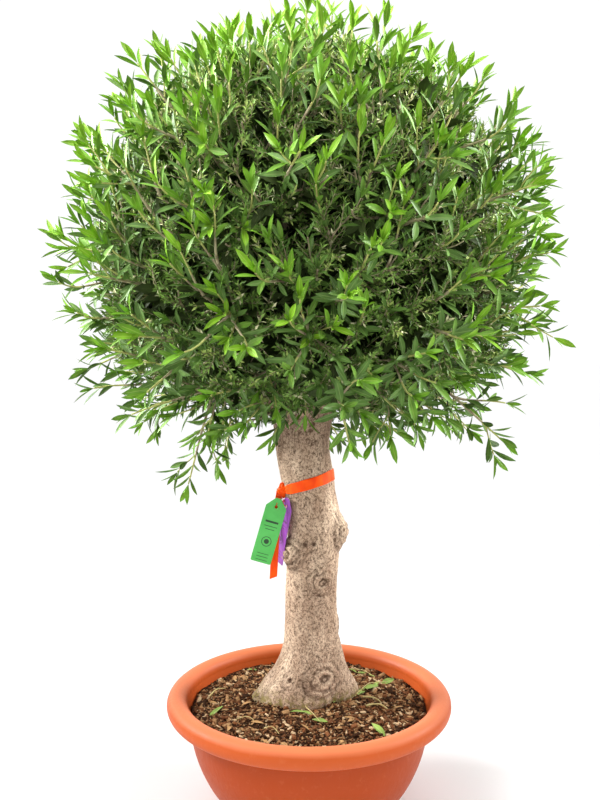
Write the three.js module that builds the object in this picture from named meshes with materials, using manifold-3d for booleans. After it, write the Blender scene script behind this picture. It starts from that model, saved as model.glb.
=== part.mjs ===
// A potted olive tree: a standard with a dense round head, in a wide terracotta-coloured bowl.
// Millimetres, +Z up. The origin is the middle of the bowl's flat underside.
//
// The head is a flattened ball. It is shared out among masses of foliage, each of which keeps to
// the space nearer to its own heart than to any other. A bough carries each mass on a short stem.
import * as THREE from "three";
import { mergeVertices } from "three/addons/utils/BufferGeometryUtils.js";
import Module from "manifold-3d";

const wasm = await Module();
wasm.setup();

// ---- Driving dimensions ----------------------------------------------------------------------
const GAP = 0.3; // clearance between pieces that touch
const GRID = 0.01; // vertices of fused pieces lie on this grid
const MERGE = 0.001; // vertices this close are one
const UP = new THREE.Vector3(0, 0, 1);
const GOLDEN_ANGLE = Math.PI * (3 - Math.sqrt(5));

const BOWL = {
  height: 260,
  rimRadius: 300, // to the outside of the rolled rim
  rollRadius: 22,
  wallTopRadius: 254,
  baseRadius: 140,
  wall: 6,
  floor: 8,
  wallHeightPower: 1.87, // how the side rounds in to the base
  wallRadiusPower: 1.46,
  sides: 36,
};
const SOIL = { edgeHeight: 225, crownHeight: 245, crownRadius: 124 };

const TRUNK = {
  foot: SOIL.crownHeight + GAP,
  head: 925, // top of the knuckle that the boughs leave from
  radius: 55,
  flare: 0.9, // how much wider the foot is than the stem
  flareHeight: 66,
  flarePower: 1.6,
  flareFlat: 0.34, // how much less it spreads to the front and the back
  dome: 34, // the height of the rounding at the head,
  domeTop: 6, // which stops this far short of a full round
  sides: 20,
  levels: 24,
  // the centre line's drift sideways, by height
  line: [
    [245, -8, 20],
    [330, 5, 16],
    [450, 5, 10],
    [620, 9, 2],
    [700, -2, 0],
    [790, -13, 2],
    [925, -6, 0],
  ],
};
// Old pruning wounds, healed over: where each is on the trunk, how far it stands out, how wide.
const BURLS = [
  { azimuth: -6, height: 601, out: 19, wide: 27, tall: 31 },
  { azimuth: 214, height: 562, out: 15, wide: 25, tall: 24 },
  { azimuth: 292, height: 506, out: 5, wide: 22, tall: 22 },
  { azimuth: 284, height: 268, out: 13, wide: 30, tall: 26 },
  { azimuth: 247, height: 280, out: 6, wide: 20, tall: 24 },
  { azimuth: 100, height: 430, out: 11, wide: 26, tall: 28 },
  { azimuth: 58, height: 690, out: 9, wide: 24, tall: 26 },
];
const KNUCKLE = { height: 872, out: 9, tall: 48 };

const HEAD = {
  centre: new THREE.Vector3(-4, 0, 1199),
  radius: new THREE.Vector3(454, 454, 411), // of the closed body of leaves, without the long shoots
  heart: 0.6, // how far out each mass has its heart, as a share of the radius
  coreOutside: 0.84, // each mass's dense core lies between these shares of the radius
  coreInside: 0.33,
  coreRadius: 158, // and reaches no further than this from the mass's heart
  border: 2, // half the clear width between two masses
  coreBorder: 5,
};
// The rings of masses, from the top down.
const RINGS = [
  { name: "top", count: 1, elevation: 90, turn: 0 },
  { name: "upper", count: 5, elevation: 24, turn: 18 },
  { name: "lower", count: 6, elevation: -28, turn: 30 },
];

const BOUGH = {
  sides: 6,
  steps: 5,
  bendAt: 0.38, // where along a bough it bends most
  stemLength: 16, // of a mass's stem outside its core, where there is room
  stemRadius: 7.5,
  tipRadius: 8,
  byRing: {
    // radius at the foot, where its line starts inside the trunk, and how far it bows outwards
    top: { radius: 18, leave: 905, off: 0, bow: 0 },
    upper: { radius: 16, leave: 888, off: 36, bow: -38 },
    lower: { radius: 19, leave: 826, off: 0, bow: 46 },
  },
};

const SHOOT = {
  count: 96,
  seed: 4127,
  foot: 0.7, // where a shoot starts, as a share of the head's radius
  reach: 1.035, // where its last leaf ends
  reachMore: 0.155, // and how much further the longest go
  lowReachMore: 0.22, // what the shoots under the head hang down beyond that
  frontWidth: 90, // one that would hang before the trunk, this near to its middle,
  frontReach: 0.98, // ends here, so that the ribbon stays free
  leaders: 3, // one shoot in so many goes the full way
  lift: 62, // how far a shoot climbs on its way out
  rooted: 0.62, // a shoot's foot is no further out than this share of the core
  radius: 4.2,
  tipRadius: 2.6,
  sides: 3,
  steps: 2,
};
const LEAF = {
  length: 106,
  lengthMore: 24,
  width: 33,
  thickness: 3.2,
  widest: 0.44, // where along its length a leaf is widest
  pairs: [0.5, 0.84], // where along a shoot its pairs of leaves stand
  pairStagger: 0.045, // how much further out the second leaf of a pair stands
  pairAngle: 42,
  sunk: 0.5, // how far past its shoot's middle line a leaf's root goes
};

const RIBBON = {
  height: 706, // of the middle of the band
  rise: 16.5, // how much higher it is on the +X side
  frontRise: 5,
  width: 22,
  thickness: 1.4,
  offBark: 0.9,
  tailWidth: 16,
  tailLength: 188,
  tailLean: 3.4,
};
const KNOT = { azimuth: 203, radius: 11, seat: 10.2, flat: 0.8, tall: 1.4 };
const TAG = {
  length: 140,
  width: 43,
  thickness: 1.6,
  chamfer: 14,
  holeRadius: 3.2,
  holeDrop: 14,
  lean: -16, // degrees, how far it swings to the side as it hangs
};
const GREEN = { inFront: 16, drop: 31 }; // where the first tag hangs from the knot
const PURPLE = { azimuth: 219, turn: -58, drop: 30, offBark: 10.2 }; // where the second tag hangs

const COLOURS = {
  bowl: 0xd06a3e,
  soil: 0x4a3122,
  bark: 0xa68f79,
  bough: 0x86705a,
  leaf: 0x5c8a2c,
  ribbon: 0xff5a10,
  greenTag: 0x5cc45c,
  purpleTag: 0x9a45a6,
};

// ---- Solids ----------------------------------------------------------------------------------
/** A geometry without its normals and uvs. */
function barePositions(geometry) {
  const bare = new THREE.BufferGeometry();
  return bare.setAttribute("position", geometry.getAttribute("position")).setIndex(geometry.index);
}

/** A closed geometry as a manifold-3d solid. */
function solidOf(geometry) {
  const merged = mergeVertices(barePositions(geometry), MERGE);
  return new wasm.Manifold(
    new wasm.Mesh({
      numProp: 3,
      vertProperties: merged.attributes.position.array,
      triVerts: new Uint32Array(merged.index.array),
    }),
  );
}

/** A manifold-3d solid as a geometry, its vertices on a fine grid so that none nearly meet. */
function geometryOf(solid) {
  const mesh = solid.getMesh();
  const snapped = mesh.vertProperties.map((value) => Math.round(value / GRID) * GRID);
  const geometry = new THREE.BufferGeometry();
  geometry.setAttribute("position", new THREE.BufferAttribute(snapped, 3));
  geometry.setIndex(new THREE.BufferAttribute(mesh.triVerts, 1));
  geometry.computeVertexNormals();
  return geometry;
}

/** The largest single body of a solid. */
function largestBody(solid) {
  return solid.decompose().reduce((a, b) => (b.volume() > a.volume() ? b : a));
}

/** Whether a solid is one body with no sealed hollow, and no two of its edges coincide. */
function isWhole(solid) {
  const geometry = mergeVertices(barePositions(geometryOf(solid)), MERGE);
  const corners = geometry.index.array;
  const facesAt = new Map();
  for (let i = 0; i < corners.length; i++) {
    const from = corners[i];
    const to = corners[i % 3 === 2 ? i - 2 : i + 1];
    const edge = `${Math.min(from, to)} ${Math.max(from, to)}`;
    facesAt.set(edge, (facesAt.get(edge) ?? 0) + 1);
  }
  return [...facesAt.values()].every((n) => n === 2) && solidOf(geometry).decompose().length === 1;
}

/** Fuses pieces on to a body one by one, and skips a piece that would not fuse cleanly. */
function fuse(body, pieces) {
  return pieces.reduce((whole, piece) => {
    const more = whole.add(piece);
    return isWhole(more) ? more : whole;
  }, body);
}

/** Joins rings of equally many points, and closes the ends with a fan to the middle or to a tip. */
function skin(rings, tip = null) {
  const sides = rings[0].length;
  const points = rings.flat();
  const faces = [];
  for (let r = 0; r + 1 < rings.length; r++) {
    for (let s = 0; s < sides; s++) {
      const a = r * sides + s;
      const b = r * sides + ((s + 1) % sides);
      faces.push(a, b, a + sides, b, b + sides, a + sides);
    }
  }
  const middle = (ring) =>
    ring.reduce((sum, p) => sum.add(p), new THREE.Vector3()).divideScalar(sides);
  const first = points.length;
  points.push(middle(rings[0]), tip ?? middle(rings[rings.length - 1]));
  const last = (rings.length - 1) * sides;
  for (let s = 0; s < sides; s++) {
    const next = (s + 1) % sides;
    faces.push(first, next, s, first + 1, last + s, last + next);
  }
  return new THREE.BufferGeometry().setFromPoints(points).setIndex(faces);
}

/** A tapering limb of a few flat sides along a curve. radiusAt(t) is its radius from 0 to 1. */
function limb(curve, radiusAt, sides, steps) {
  const { normals, binormals } = curve.computeFrenetFrames(steps, false);
  const rings = [];
  for (let i = 0; i <= steps; i++) {
    const centre = curve.getPointAt(i / steps);
    const ring = [];
    for (let s = 0; s < sides; s++) {
      const turn = (2 * Math.PI * s) / sides;
      const out = normals[i]
        .clone()
        .multiplyScalar(Math.cos(turn))
        .addScaledVector(binormals[i], Math.sin(turn));
      ring.push(centre.clone().addScaledVector(out, radiusAt(i / steps)));
    }
    rings.push(ring);
  }
  return skin(rings);
}

/** Numbers from 0 to 1 that are the same on every run for the same seed. */
function seededRandom(seed) {
  let state = seed >>> 0;
  return () => {
    state = (state + 0x6d2b79f5) >>> 0;
    let mixed = Math.imul(state ^ (state >>> 15), state | 1);
    mixed ^= mixed + Math.imul(mixed ^ (mixed >>> 7), mixed | 61);
    return ((mixed ^ (mixed >>> 14)) >>> 0) / 2 ** 32;
  };
}

const radians = THREE.MathUtils.degToRad;

/** The unit vector at an azimuth and elevation in degrees. */
function heading(azimuth, elevation) {
  const flat = Math.cos(radians(elevation));
  return new THREE.Vector3(
    flat * Math.cos(radians(azimuth)),
    flat * Math.sin(radians(azimuth)),
    Math.sin(radians(elevation)),
  );
}

// ---- Bowl and soil ---------------------------------------------------------------------------
/** The outer radius of the bowl's side at a height. */
function bowlSide(height) {
  const share = 1 - height / (BOWL.height - 2 * BOWL.rollRadius);
  const round = (1 - share ** BOWL.wallHeightPower) ** (1 / BOWL.wallRadiusPower);
  return BOWL.baseRadius + (BOWL.wallTopRadius - BOWL.baseRadius) * round;
}

/** A solid turned about the Z axis from a profile of [radius, height] points. */
function turned(profile) {
  const points = profile.map(([radius, height]) => new THREE.Vector2(radius, height));
  return new THREE.LatheGeometry(points, BOWL.sides).rotateX(Math.PI / 2);
}

const SIDE_HEIGHTS = [4, 20, 48, 88, 132, 180, BOWL.height - 2 * BOWL.rollRadius + 4];

/** The bowl: flat base, rounded side, and a thick rolled rim that hangs over it. */
function bowlGeometry() {
  const rollCentre = [BOWL.rimRadius - BOWL.rollRadius, BOWL.height - BOWL.rollRadius];
  const outside = SIDE_HEIGHTS.map((height) => [bowlSide(height), height]);
  const inside = SIDE_HEIGHTS.slice(1, -1).map((h) => [bowlSide(h) - BOWL.wall, h]);
  const roll = [];
  for (let turn = -120; turn <= 190; turn += 44.3) {
    roll.push([
      rollCentre[0] + BOWL.rollRadius * Math.cos(radians(turn)),
      rollCentre[1] + BOWL.rollRadius * Math.sin(radians(turn)),
    ]);
  }
  return turned([
    [0, 0],
    [BOWL.baseRadius - 4, 0],
    ...outside.slice(0, -1),
    ...roll,
    ...inside.reverse(),
    [BOWL.baseRadius - BOWL.wall, BOWL.floor],
    [0, BOWL.floor],
  ]);
}

/** The fill of growing medium, a little mounded round the trunk. */
function soilGeometry() {
  const wall = BOWL.wall + GAP;
  const side = SIDE_HEIGHTS.slice(1, -1).map((height) => [bowlSide(height) - wall, height]);
  return turned([
    [0, BOWL.floor + GAP],
    [BOWL.baseRadius - wall - 1, BOWL.floor + GAP],
    ...side,
    [bowlSide(SIDE_HEIGHTS.at(-2)) - wall, SOIL.edgeHeight],
    [(SOIL.crownRadius + BOWL.wallTopRadius) / 2, (SOIL.edgeHeight + SOIL.crownHeight) / 2 + 2],
    [SOIL.crownRadius, SOIL.crownHeight],
    [0, SOIL.crownHeight],
  ]);
}

// ---- Trunk -----------------------------------------------------------------------------------
const trunkLine = new THREE.CatmullRomCurve3(
  TRUNK.line.map(([height, x, y]) => new THREE.Vector3(x, y, height)),
);

/** The middle of the trunk at a height. */
function trunkMiddle(height) {
  let [low, high] = [0, 1];
  for (let i = 0; i < 24; i++) {
    const middle = (low + high) / 2;
    if (trunkLine.getPoint(middle).z < height) low = middle;
    else high = middle;
  }
  return trunkLine.getPoint(low).setZ(height);
}

/** How far the trunk's bark is from its middle, at an azimuth in radians and a height. */
function trunkRadius(azimuth, height) {
  const up = height - TRUNK.foot;
  const flare = TRUNK.flare * Math.exp(-((Math.max(up, 0) / TRUNK.flareHeight) ** TRUNK.flarePower));
  const lobes =
    0.14 * Math.cos(3 * azimuth - 0.6) +
    0.09 * Math.cos(5 * azimuth + 1.1) -
    TRUNK.flareFlat * Math.sin(azimuth) ** 2;
  const ripple = 0.018 * Math.cos(4 * azimuth + up / 90) + 0.014 * Math.cos(3 * azimuth - up / 60);
  const knuckle = KNUCKLE.out * Math.exp(-(((height - KNUCKLE.height) / KNUCKLE.tall) ** 2));
  let radius = TRUNK.radius * (1 + flare * (1 + lobes) + ripple) + knuckle;
  for (const burl of BURLS) {
    const turn = azimuth - radians(burl.azimuth);
    const across = Math.atan2(Math.sin(turn), Math.cos(turn)) * TRUNK.radius;
    radius +=
      burl.out *
      Math.exp(-((across / burl.wide) ** 2) - ((height - burl.height) / burl.tall) ** 2);
  }
  return radius;
}

/** The trunk from its flat cut on the soil to its rounded top, or a cutter a little larger. */
function trunkGeometry(more = 0) {
  const { foot, head, sides, levels } = TRUNK;
  const rings = [];
  for (let i = 0; i <= levels; i++) {
    const share = (i / levels) ** 1.25; // closer together at the flare
    const height = foot + (head - foot) * share;
    const inDome = Math.max(0, height - head + TRUNK.dome) / (TRUNK.dome + TRUNK.domeTop);
    const dome = Math.sqrt(1 - inDome ** 2);
    const middle = trunkMiddle(height);
    const ring = [];
    for (let s = 0; s < sides; s++) {
      const azimuth = (2 * Math.PI * s) / sides;
      const radius = (trunkRadius(azimuth, height) + more) * dome;
      ring.push(
        new THREE.Vector3(Math.cos(azimuth), Math.sin(azimuth), 0)
          .multiplyScalar(radius)
          .add(middle),
      );
    }
    rings.push(ring);
  }
  const top = trunkMiddle(head);
  top.z += more;
  return skin(rings, top);
}

// ---- The head's shares -----------------------------------------------------------------------
/** A point of the head from a direction and a share of the radius. */
function inHead(direction, share) {
  return direction.clone().multiply(HEAD.radius).multiplyScalar(share).add(HEAD.centre);
}

/** Which share of the head's radius a point is at. */
function shareOf(point) {
  return point.clone().sub(HEAD.centre).divide(HEAD.radius).length();
}

const masses = RINGS.flatMap((ring) =>
  Array.from({ length: ring.count }, (_, i) => {
    const azimuth = ring.turn + (360 * i) / ring.count;
    return {
      ring: ring.name,
      name: ring.count > 1 ? `${ring.name}_${i + 1}` : ring.name,
      azimuth,
      heart: inHead(heading(azimuth, ring.elevation), HEAD.heart),
    };
  }),
);

/** Whether a point is in a mass's own space, at least border from the next one. */
function inSpace(point, mass, border) {
  return masses.every((other) => {
    if (other === mass) return true;
    const apart = other.heart.clone().sub(mass.heart);
    const middle = mass.heart.clone().add(other.heart).multiplyScalar(0.5);
    return point.clone().sub(middle).dot(apart.normalize()) < -border;
  });
}

/** How far a mass's core goes from its heart in a direction. */
function coreRadius(mass, direction) {
  const step = 4;
  let far = step;
  for (; far < HEAD.coreRadius; far += step) {
    const point = mass.heart.clone().addScaledVector(direction, far);
    const share = shareOf(point);
    if (share > HEAD.coreOutside || share < HEAD.coreInside) break;
    if (!inSpace(point, mass, HEAD.coreBorder)) break;
  }
  return far - step;
}

/** The dense heart of a mass. */
function coreGeometry(mass) {
  const ball = new THREE.IcosahedronGeometry(1, 1);
  const position = ball.getAttribute("position");
  for (let i = 0; i < position.count; i++) {
    const direction = new THREE.Vector3().fromBufferAttribute(position, i).normalize();
    const point = mass.heart.clone().addScaledVector(direction, coreRadius(mass, direction));
    position.setXYZ(i, point.x, point.y, point.z);
  }
  return ball;
}

// ---- Boughs ----------------------------------------------------------------------------------
/** A bough's line from inside the trunk's head to the heart of its mass, and where it ends. */
function boughLine(mass) {
  const { leave, off, bow } = BOUGH.byRing[mass.ring];
  const outward = heading(mass.azimuth, 0);
  const start = trunkMiddle(leave).addScaledVector(outward, off);
  const towards = mass.heart.clone().sub(start);
  const bend = start
    .clone()
    .addScaledVector(towards, BOUGH.bendAt)
    .addScaledVector(outward, bow)
    .addScaledVector(UP, -bow * 0.35);
  const inwards = bend.clone().sub(mass.heart).normalize();
  const tip = mass.heart.clone();
  tip.addScaledVector(inwards, coreRadius(mass, inwards) + BOUGH.stemLength);
  while (!inSpace(tip, mass, BOUGH.tipRadius)) tip.addScaledVector(inwards, -2);
  return { start, bend, tip, inwards };
}

/** The radius of a bough along its line. */
function boughRadius(mass, t) {
  const { radius } = BOUGH.byRing[mass.ring];
  return radius + (BOUGH.tipRadius - radius) * t ** 0.8;
}

/** A bough as a solid, as long as it is inside the trunk too, or a cutter a little larger. */
function boughSolid(mass, more = 0) {
  const { start, bend, tip, inwards } = boughLine(mass);
  const end = tip.clone().addScaledVector(inwards, -more);
  const curve = new THREE.QuadraticBezierCurve3(start, bend, end);
  return solidOf(limb(curve, (t) => boughRadius(mass, t) + more, BOUGH.sides, BOUGH.steps));
}

/** Each mass's bough, cut off at the trunk and at the boughs before it. */
const boughs = new Map();
let boughCutter = solidOf(trunkGeometry(GAP));
for (const mass of masses) {
  boughs.set(mass, largestBody(boughSolid(mass).subtract(boughCutter)));
  boughCutter = boughCutter.add(boughSolid(mass, GAP));
}

const limbCutter = wasm.Manifold.union([
  solidOf(trunkGeometry(3)),
  ...masses.map((mass) => boughSolid(mass, 2)),
]);

/** A mass's stem, from just clear of its bough's tip to its heart. */
function stemSolid(mass) {
  const { tip, inwards } = boughLine(mass);
  const start = tip.clone().addScaledVector(inwards, -GAP);
  const line = new THREE.LineCurve3(start, mass.heart);
  return solidOf(limb(line, (t) => BOUGH.stemRadius - 3 * t, BOUGH.sides, 1));
}

// ---- Shoots and leaves -----------------------------------------------------------------------
/** A leaf of eight faces, from its root along a direction, with its face towards up. */
function leafGeometry(root, direction, up, length, width) {
  const side = direction.clone().cross(up).normalize();
  const face = side.clone().cross(direction).normalize();
  const waist = root.clone().addScaledVector(direction, length * LEAF.widest);
  const ring = [
    [side, width / 2],
    [face, LEAF.thickness / 2],
    [side, -width / 2],
    [face, -LEAF.thickness / 2],
  ].map(([way, far]) => waist.clone().addScaledVector(way, far));
  const foot = root.clone().addScaledVector(direction, -LEAF.sunk);
  const tip = root.clone().addScaledVector(direction, length);
  const points = [...ring, foot, tip];
  const faces = [];
  for (let s = 0; s < 4; s++) {
    const next = (s + 1) % 4;
    faces.push(4, s, next, 5, next, s);
  }
  return new THREE.BufferGeometry().setFromPoints(points).setIndex(faces);
}

/** Where shoot k leaves its mass and ends, and how its leaves turn, by the seeded rule. */
function shootLine(k) {
  const random = seededRandom(SHOOT.seed + k);
  const level = 1 - (2 * (k + 0.5)) / SHOOT.count + (random() - 0.5) * 0.07;
  const height = THREE.MathUtils.clamp(level, -0.93, 0.995);
  const azimuth = k * GOLDEN_ANGLE + (random() - 0.5) * 0.3;
  const flat = Math.sqrt(1 - height * height);
  const direction = new THREE.Vector3(flat * Math.cos(azimuth), flat * Math.sin(azimuth), height);
  const low = THREE.MathUtils.clamp((-0.35 - height) / 0.4, 0, 1);
  const longest = k % SHOOT.leaders === 0 ? 1 : random() ** 2;
  const fullReach = SHOOT.reach + longest * (SHOOT.reachMore + SHOOT.lowReachMore * low);
  const across = Math.abs(direction.x) * HEAD.radius.x;
  const beforeTrunk = low === 1 && direction.y < 0 && across < SHOOT.frontWidth;
  const reach = beforeTrunk ? SHOOT.frontReach : fullReach;
  const tip = inHead(direction, reach);
  const foot = inHead(direction, SHOOT.foot);
  foot.z -= SHOOT.lift * (1 - Math.abs(height)) * (1 - low);
  return { random, tip, foot, direction, roll: random() * Math.PI };
}

/** The mass that a point belongs to. */
function massAt(point) {
  return masses.reduce((a, b) =>
    b.heart.distanceTo(point) < a.heart.distanceTo(point) ? b : a,
  );
}

/** A piece of a mass as a solid, or null where it would leave the mass's space or touch a limb. */
function fitting(geometry, mass) {
  const position = geometry.getAttribute("position");
  for (let i = 0; i < position.count; i++) {
    const point = new THREE.Vector3().fromBufferAttribute(position, i);
    if (!inSpace(point, mass, HEAD.border)) return null;
  }
  const solid = solidOf(geometry);
  return solid.intersect(limbCutter).isEmpty() ? solid : null;
}

/** One shoot with its pairs of leaves and its end leaf, as solids, in the mass that it is in. */
function shootSolids(k) {
  const { random, tip, foot, direction, roll } = shootLine(k);
  const mass = massAt(inHead(direction, 0.95));
  const lean = foot.clone().sub(mass.heart);
  const deep = coreRadius(mass, lean.clone().normalize()) * SHOOT.rooted;
  if (lean.length() > deep) foot.copy(mass.heart).addScaledVector(lean.normalize(), deep);
  const endLeaf = LEAF.length * (0.9 + 0.2 * random());
  const axis = tip.clone().sub(foot);
  const end = tip.clone().addScaledVector(axis.clone().normalize(), -endLeaf * 0.9);
  const bend = foot.clone().lerp(end, 0.55).addScaledVector(UP, -10);
  const line = new THREE.QuadraticBezierCurve3(foot, bend, end);
  const radiusAt = (t) => SHOOT.radius + (SHOOT.tipRadius - SHOOT.radius) * t;
  const stem = limb(line, radiusAt, SHOOT.sides, SHOOT.steps);
  const solids = [fitting(stem, mass)];
  if (!solids[0]) return { mass, solids: [] };

  const addLeaf = (t, spread, around) => {
    const root = line.getPoint(t);
    const along = line.getTangent(t);
    const side = along.clone().cross(UP).normalize().applyAxisAngle(along, around);
    const way = along
      .clone()
      .multiplyScalar(Math.cos(radians(spread)))
      .addScaledVector(side, Math.sin(radians(spread)));
    const length = t === 1 ? endLeaf : LEAF.length + LEAF.lengthMore * (random() - 0.5);
    const leaf = leafGeometry(root, way, along, length, LEAF.width * (0.9 + 0.2 * random()));
    solids.push(fitting(leaf, mass));
  };
  LEAF.pairs.forEach((t, pair) => {
    const around = roll + (pair * Math.PI) / 2;
    addLeaf(t, LEAF.pairAngle, around);
    addLeaf(t + LEAF.pairStagger, LEAF.pairAngle, around + Math.PI);
  });
  addLeaf(1, 4, roll);
  return { mass, solids: solids.filter(Boolean) };
}

/** All the shoots, by mass. */
const shoots = Array.from({ length: SHOOT.count }, (_, k) => shootSolids(k));

/** A mass of foliage: stem, core cut clear of the limbs, shoots and leaves, fused. */
function massGeometry(mass) {
  const core = solidOf(coreGeometry(mass)).subtract(limbCutter);
  const growth = shoots.filter((shoot) => shoot.mass === mass).flatMap((shoot) => shoot.solids);
  return geometryOf(fuse(largestBody(core), [stemSolid(mass), ...growth]));
}

// ---- Ribbon and tags -------------------------------------------------------------------------
/** The height of the middle of the ribbon at an azimuth in radians. */
function ribbonHeight(azimuth) {
  return RIBBON.height + RIBBON.rise * Math.cos(azimuth) - RIBBON.frontRise * Math.sin(azimuth);
}

/** The band of ribbon, close round the trunk. */
function bandGeometry() {
  const sections = [];
  for (let s = 0; s < TRUNK.sides; s++) {
    const azimuth = (2 * Math.PI * s) / TRUNK.sides;
    const section = [
      [-1, 0],
      [1, 0],
      [1, 1],
      [-1, 1],
    ].map(([edge, out]) => {
      const height = ribbonHeight(azimuth) + (edge * RIBBON.width) / 2;
      const near = [-RIBBON.width / 2, 0, RIBBON.width / 2];
      const bark = Math.max(...near.map((up) => trunkRadius(azimuth, height + up)));
      const radius = bark + RIBBON.offBark + out * RIBBON.thickness;
      return new THREE.Vector3(Math.cos(azimuth), Math.sin(azimuth), 0)
        .multiplyScalar(radius)
        .add(trunkMiddle(height));
    });
    sections.push(section);
  }
  const points = sections.flat();
  const faces = [];
  for (let s = 0; s < sections.length; s++) {
    const next = (s + 1) % sections.length;
    for (let e = 0; e < 4; e++) {
      const [a, b] = [s * 4 + e, s * 4 + ((e + 1) % 4)];
      const [c, d] = [next * 4 + e, next * 4 + ((e + 1) % 4)];
      faces.push(a, b, c, b, d, c);
    }
  }
  return new THREE.BufferGeometry().setFromPoints(points).setIndex(faces);
}

const knotPlace = (() => {
  const azimuth = radians(KNOT.azimuth);
  const height = ribbonHeight(azimuth);
  const radius = trunkRadius(azimuth, height) + RIBBON.offBark + RIBBON.thickness + KNOT.seat;
  return new THREE.Vector3(Math.cos(azimuth), Math.sin(azimuth), 0)
    .multiplyScalar(radius)
    .add(trunkMiddle(height));
})();

/** The knot, with the ribbon's loose end hanging from it. */
function knotSolid() {
  const knot = solidOf(
    new THREE.IcosahedronGeometry(KNOT.radius, 1).scale(1, KNOT.flat, KNOT.tall).translate(...knotPlace),
  );
  const outline = new THREE.Shape([
    new THREE.Vector2(-4, 0),
    new THREE.Vector2(4, 0),
    new THREE.Vector2(RIBBON.tailWidth / 2, -40),
    new THREE.Vector2(RIBBON.tailWidth / 2, -RIBBON.tailLength),
    new THREE.Vector2(-RIBBON.tailWidth / 2, -RIBBON.tailLength + 7),
    new THREE.Vector2(-RIBBON.tailWidth / 2, -40),
  ]);
  const tail = plate(outline, RIBBON.thickness);
  tail.rotateZ(radians(-RIBBON.tailLean)); // in its own plane, before it is stood up
  tail.rotateX(Math.PI / 2);
  tail.translate(knotPlace.x, knotPlace.y, knotPlace.z);
  return knot.add(solidOf(tail));
}

/** A flat plate of an outline, its thickness half to each side. */
function plate(outline, thickness) {
  return new THREE.ExtrudeGeometry(outline, {
    depth: thickness,
    bevelEnabled: false,
    curveSegments: 3,
  }).translate(0, 0, -thickness / 2);
}

/** A hang tag with its two top corners cut off and a hole, hung from the middle of its hole. */
function tagGeometry(lean, turn, place) {
  const { length, width, chamfer, thickness, holeRadius, holeDrop } = TAG;
  const top = holeDrop;
  const outline = new THREE.Shape([
    new THREE.Vector2(-width / 2 + chamfer, top),
    new THREE.Vector2(width / 2 - chamfer, top),
    new THREE.Vector2(width / 2, top - chamfer * 1.15),
    new THREE.Vector2(width / 2, top - length),
    new THREE.Vector2(-width / 2, top - length),
    new THREE.Vector2(-width / 2, top - chamfer * 1.15),
  ]);
  const turns = Array.from({ length: 8 }, (_, i) => (2 * Math.PI * i) / 8);
  const rim = turns.map((a) => new THREE.Vector2(Math.cos(a), Math.sin(a)).multiplyScalar(holeRadius));
  outline.holes.push(new THREE.Path(rim));
  const tag = plate(outline, thickness);
  tag.rotateZ(radians(lean));
  tag.rotateX(Math.PI / 2);
  tag.rotateZ(radians(turn));
  return tag.translate(...place);
}

// ---- The tree --------------------------------------------------------------------------------
const tree = new THREE.Group();

/** Adds a named mesh of one colour. */
function add(name, geometry, colour, roughness) {
  const material = new THREE.MeshStandardMaterial({ color: colour, roughness, metalness: 0 });
  const mesh = new THREE.Mesh(geometry, material);
  mesh.name = name;
  tree.add(mesh);
}

add("bowl", bowlGeometry(), COLOURS.bowl, 0.5);
add("soil", soilGeometry(), COLOURS.soil, 0.95);
add("trunk", trunkGeometry(), COLOURS.bark, 0.9);
for (const mass of masses) {
  add(`bough_${mass.name}`, geometryOf(boughs.get(mass)), COLOURS.bough, 0.9);
  add(`foliage_${mass.name}`, massGeometry(mass), COLOURS.leaf, 0.5);
}
add("ribbon_band", bandGeometry(), COLOURS.ribbon, 0.45);
add("ribbon_knot", geometryOf(knotSolid()), COLOURS.ribbon, 0.45);

const greenPlace = new THREE.Vector3(-4, -GREEN.inFront, -GREEN.drop).add(knotPlace);
add("tag_green", tagGeometry(TAG.lean, 0, greenPlace), COLOURS.greenTag, 0.5);
const purplePlace = trunkMiddle(knotPlace.z - PURPLE.drop).addScaledVector(
  heading(PURPLE.azimuth, 0),
  TRUNK.radius + PURPLE.offBark,
);
add("tag_purple", tagGeometry(TAG.lean, PURPLE.turn, purplePlace), COLOURS.purpleTag, 0.5);

export default tree;
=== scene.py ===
"""A potted olive tree: a standard with a dense round head of narrow leaves, in a wide bowl.

Metres, +Z up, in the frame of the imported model: the origin is the middle of the bowl's flat
underside. Each sub-assembly is a class that holds its sizes and builds its own pieces, and each
finish is a class that makes one material. Geometry Nodes grow what repeats: leaves, twigs and
chips of bark in the compost.
"""

import itertools
import logging
import math
from collections.abc import Iterator
from dataclasses import dataclass, field
from enum import Enum

import bpy
import numpy as np
from mathutils import Euler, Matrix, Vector


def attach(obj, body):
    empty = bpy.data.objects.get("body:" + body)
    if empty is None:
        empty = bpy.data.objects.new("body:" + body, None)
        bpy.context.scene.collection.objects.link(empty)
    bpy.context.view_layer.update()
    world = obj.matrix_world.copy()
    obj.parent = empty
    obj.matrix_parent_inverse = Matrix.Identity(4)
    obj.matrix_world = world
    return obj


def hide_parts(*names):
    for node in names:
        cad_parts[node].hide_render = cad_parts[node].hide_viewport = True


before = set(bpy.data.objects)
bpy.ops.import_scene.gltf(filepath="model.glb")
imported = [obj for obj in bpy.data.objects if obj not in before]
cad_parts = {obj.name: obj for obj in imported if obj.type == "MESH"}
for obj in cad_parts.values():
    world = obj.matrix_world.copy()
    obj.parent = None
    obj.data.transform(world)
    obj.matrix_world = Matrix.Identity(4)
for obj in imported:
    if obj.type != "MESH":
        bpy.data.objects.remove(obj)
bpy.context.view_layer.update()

Array = np.ndarray
Piece = bpy.types.Object
Material = bpy.types.Material
Socket = bpy.types.NodeSocket
Colour = tuple[float, float, float, float]

BODY = "root"
LEAF_MAP = "leaf"  # across and along each leaf
UP = np.array([0.0, 0.0, 1.0])
GOLDEN_ANGLE = math.pi * (3 - math.sqrt(5))
ASKEW = np.array(Euler((0.7, 0.5, 1.1)).to_matrix())  # turns noise off the axes
log = logging.getLogger("olive")


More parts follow.
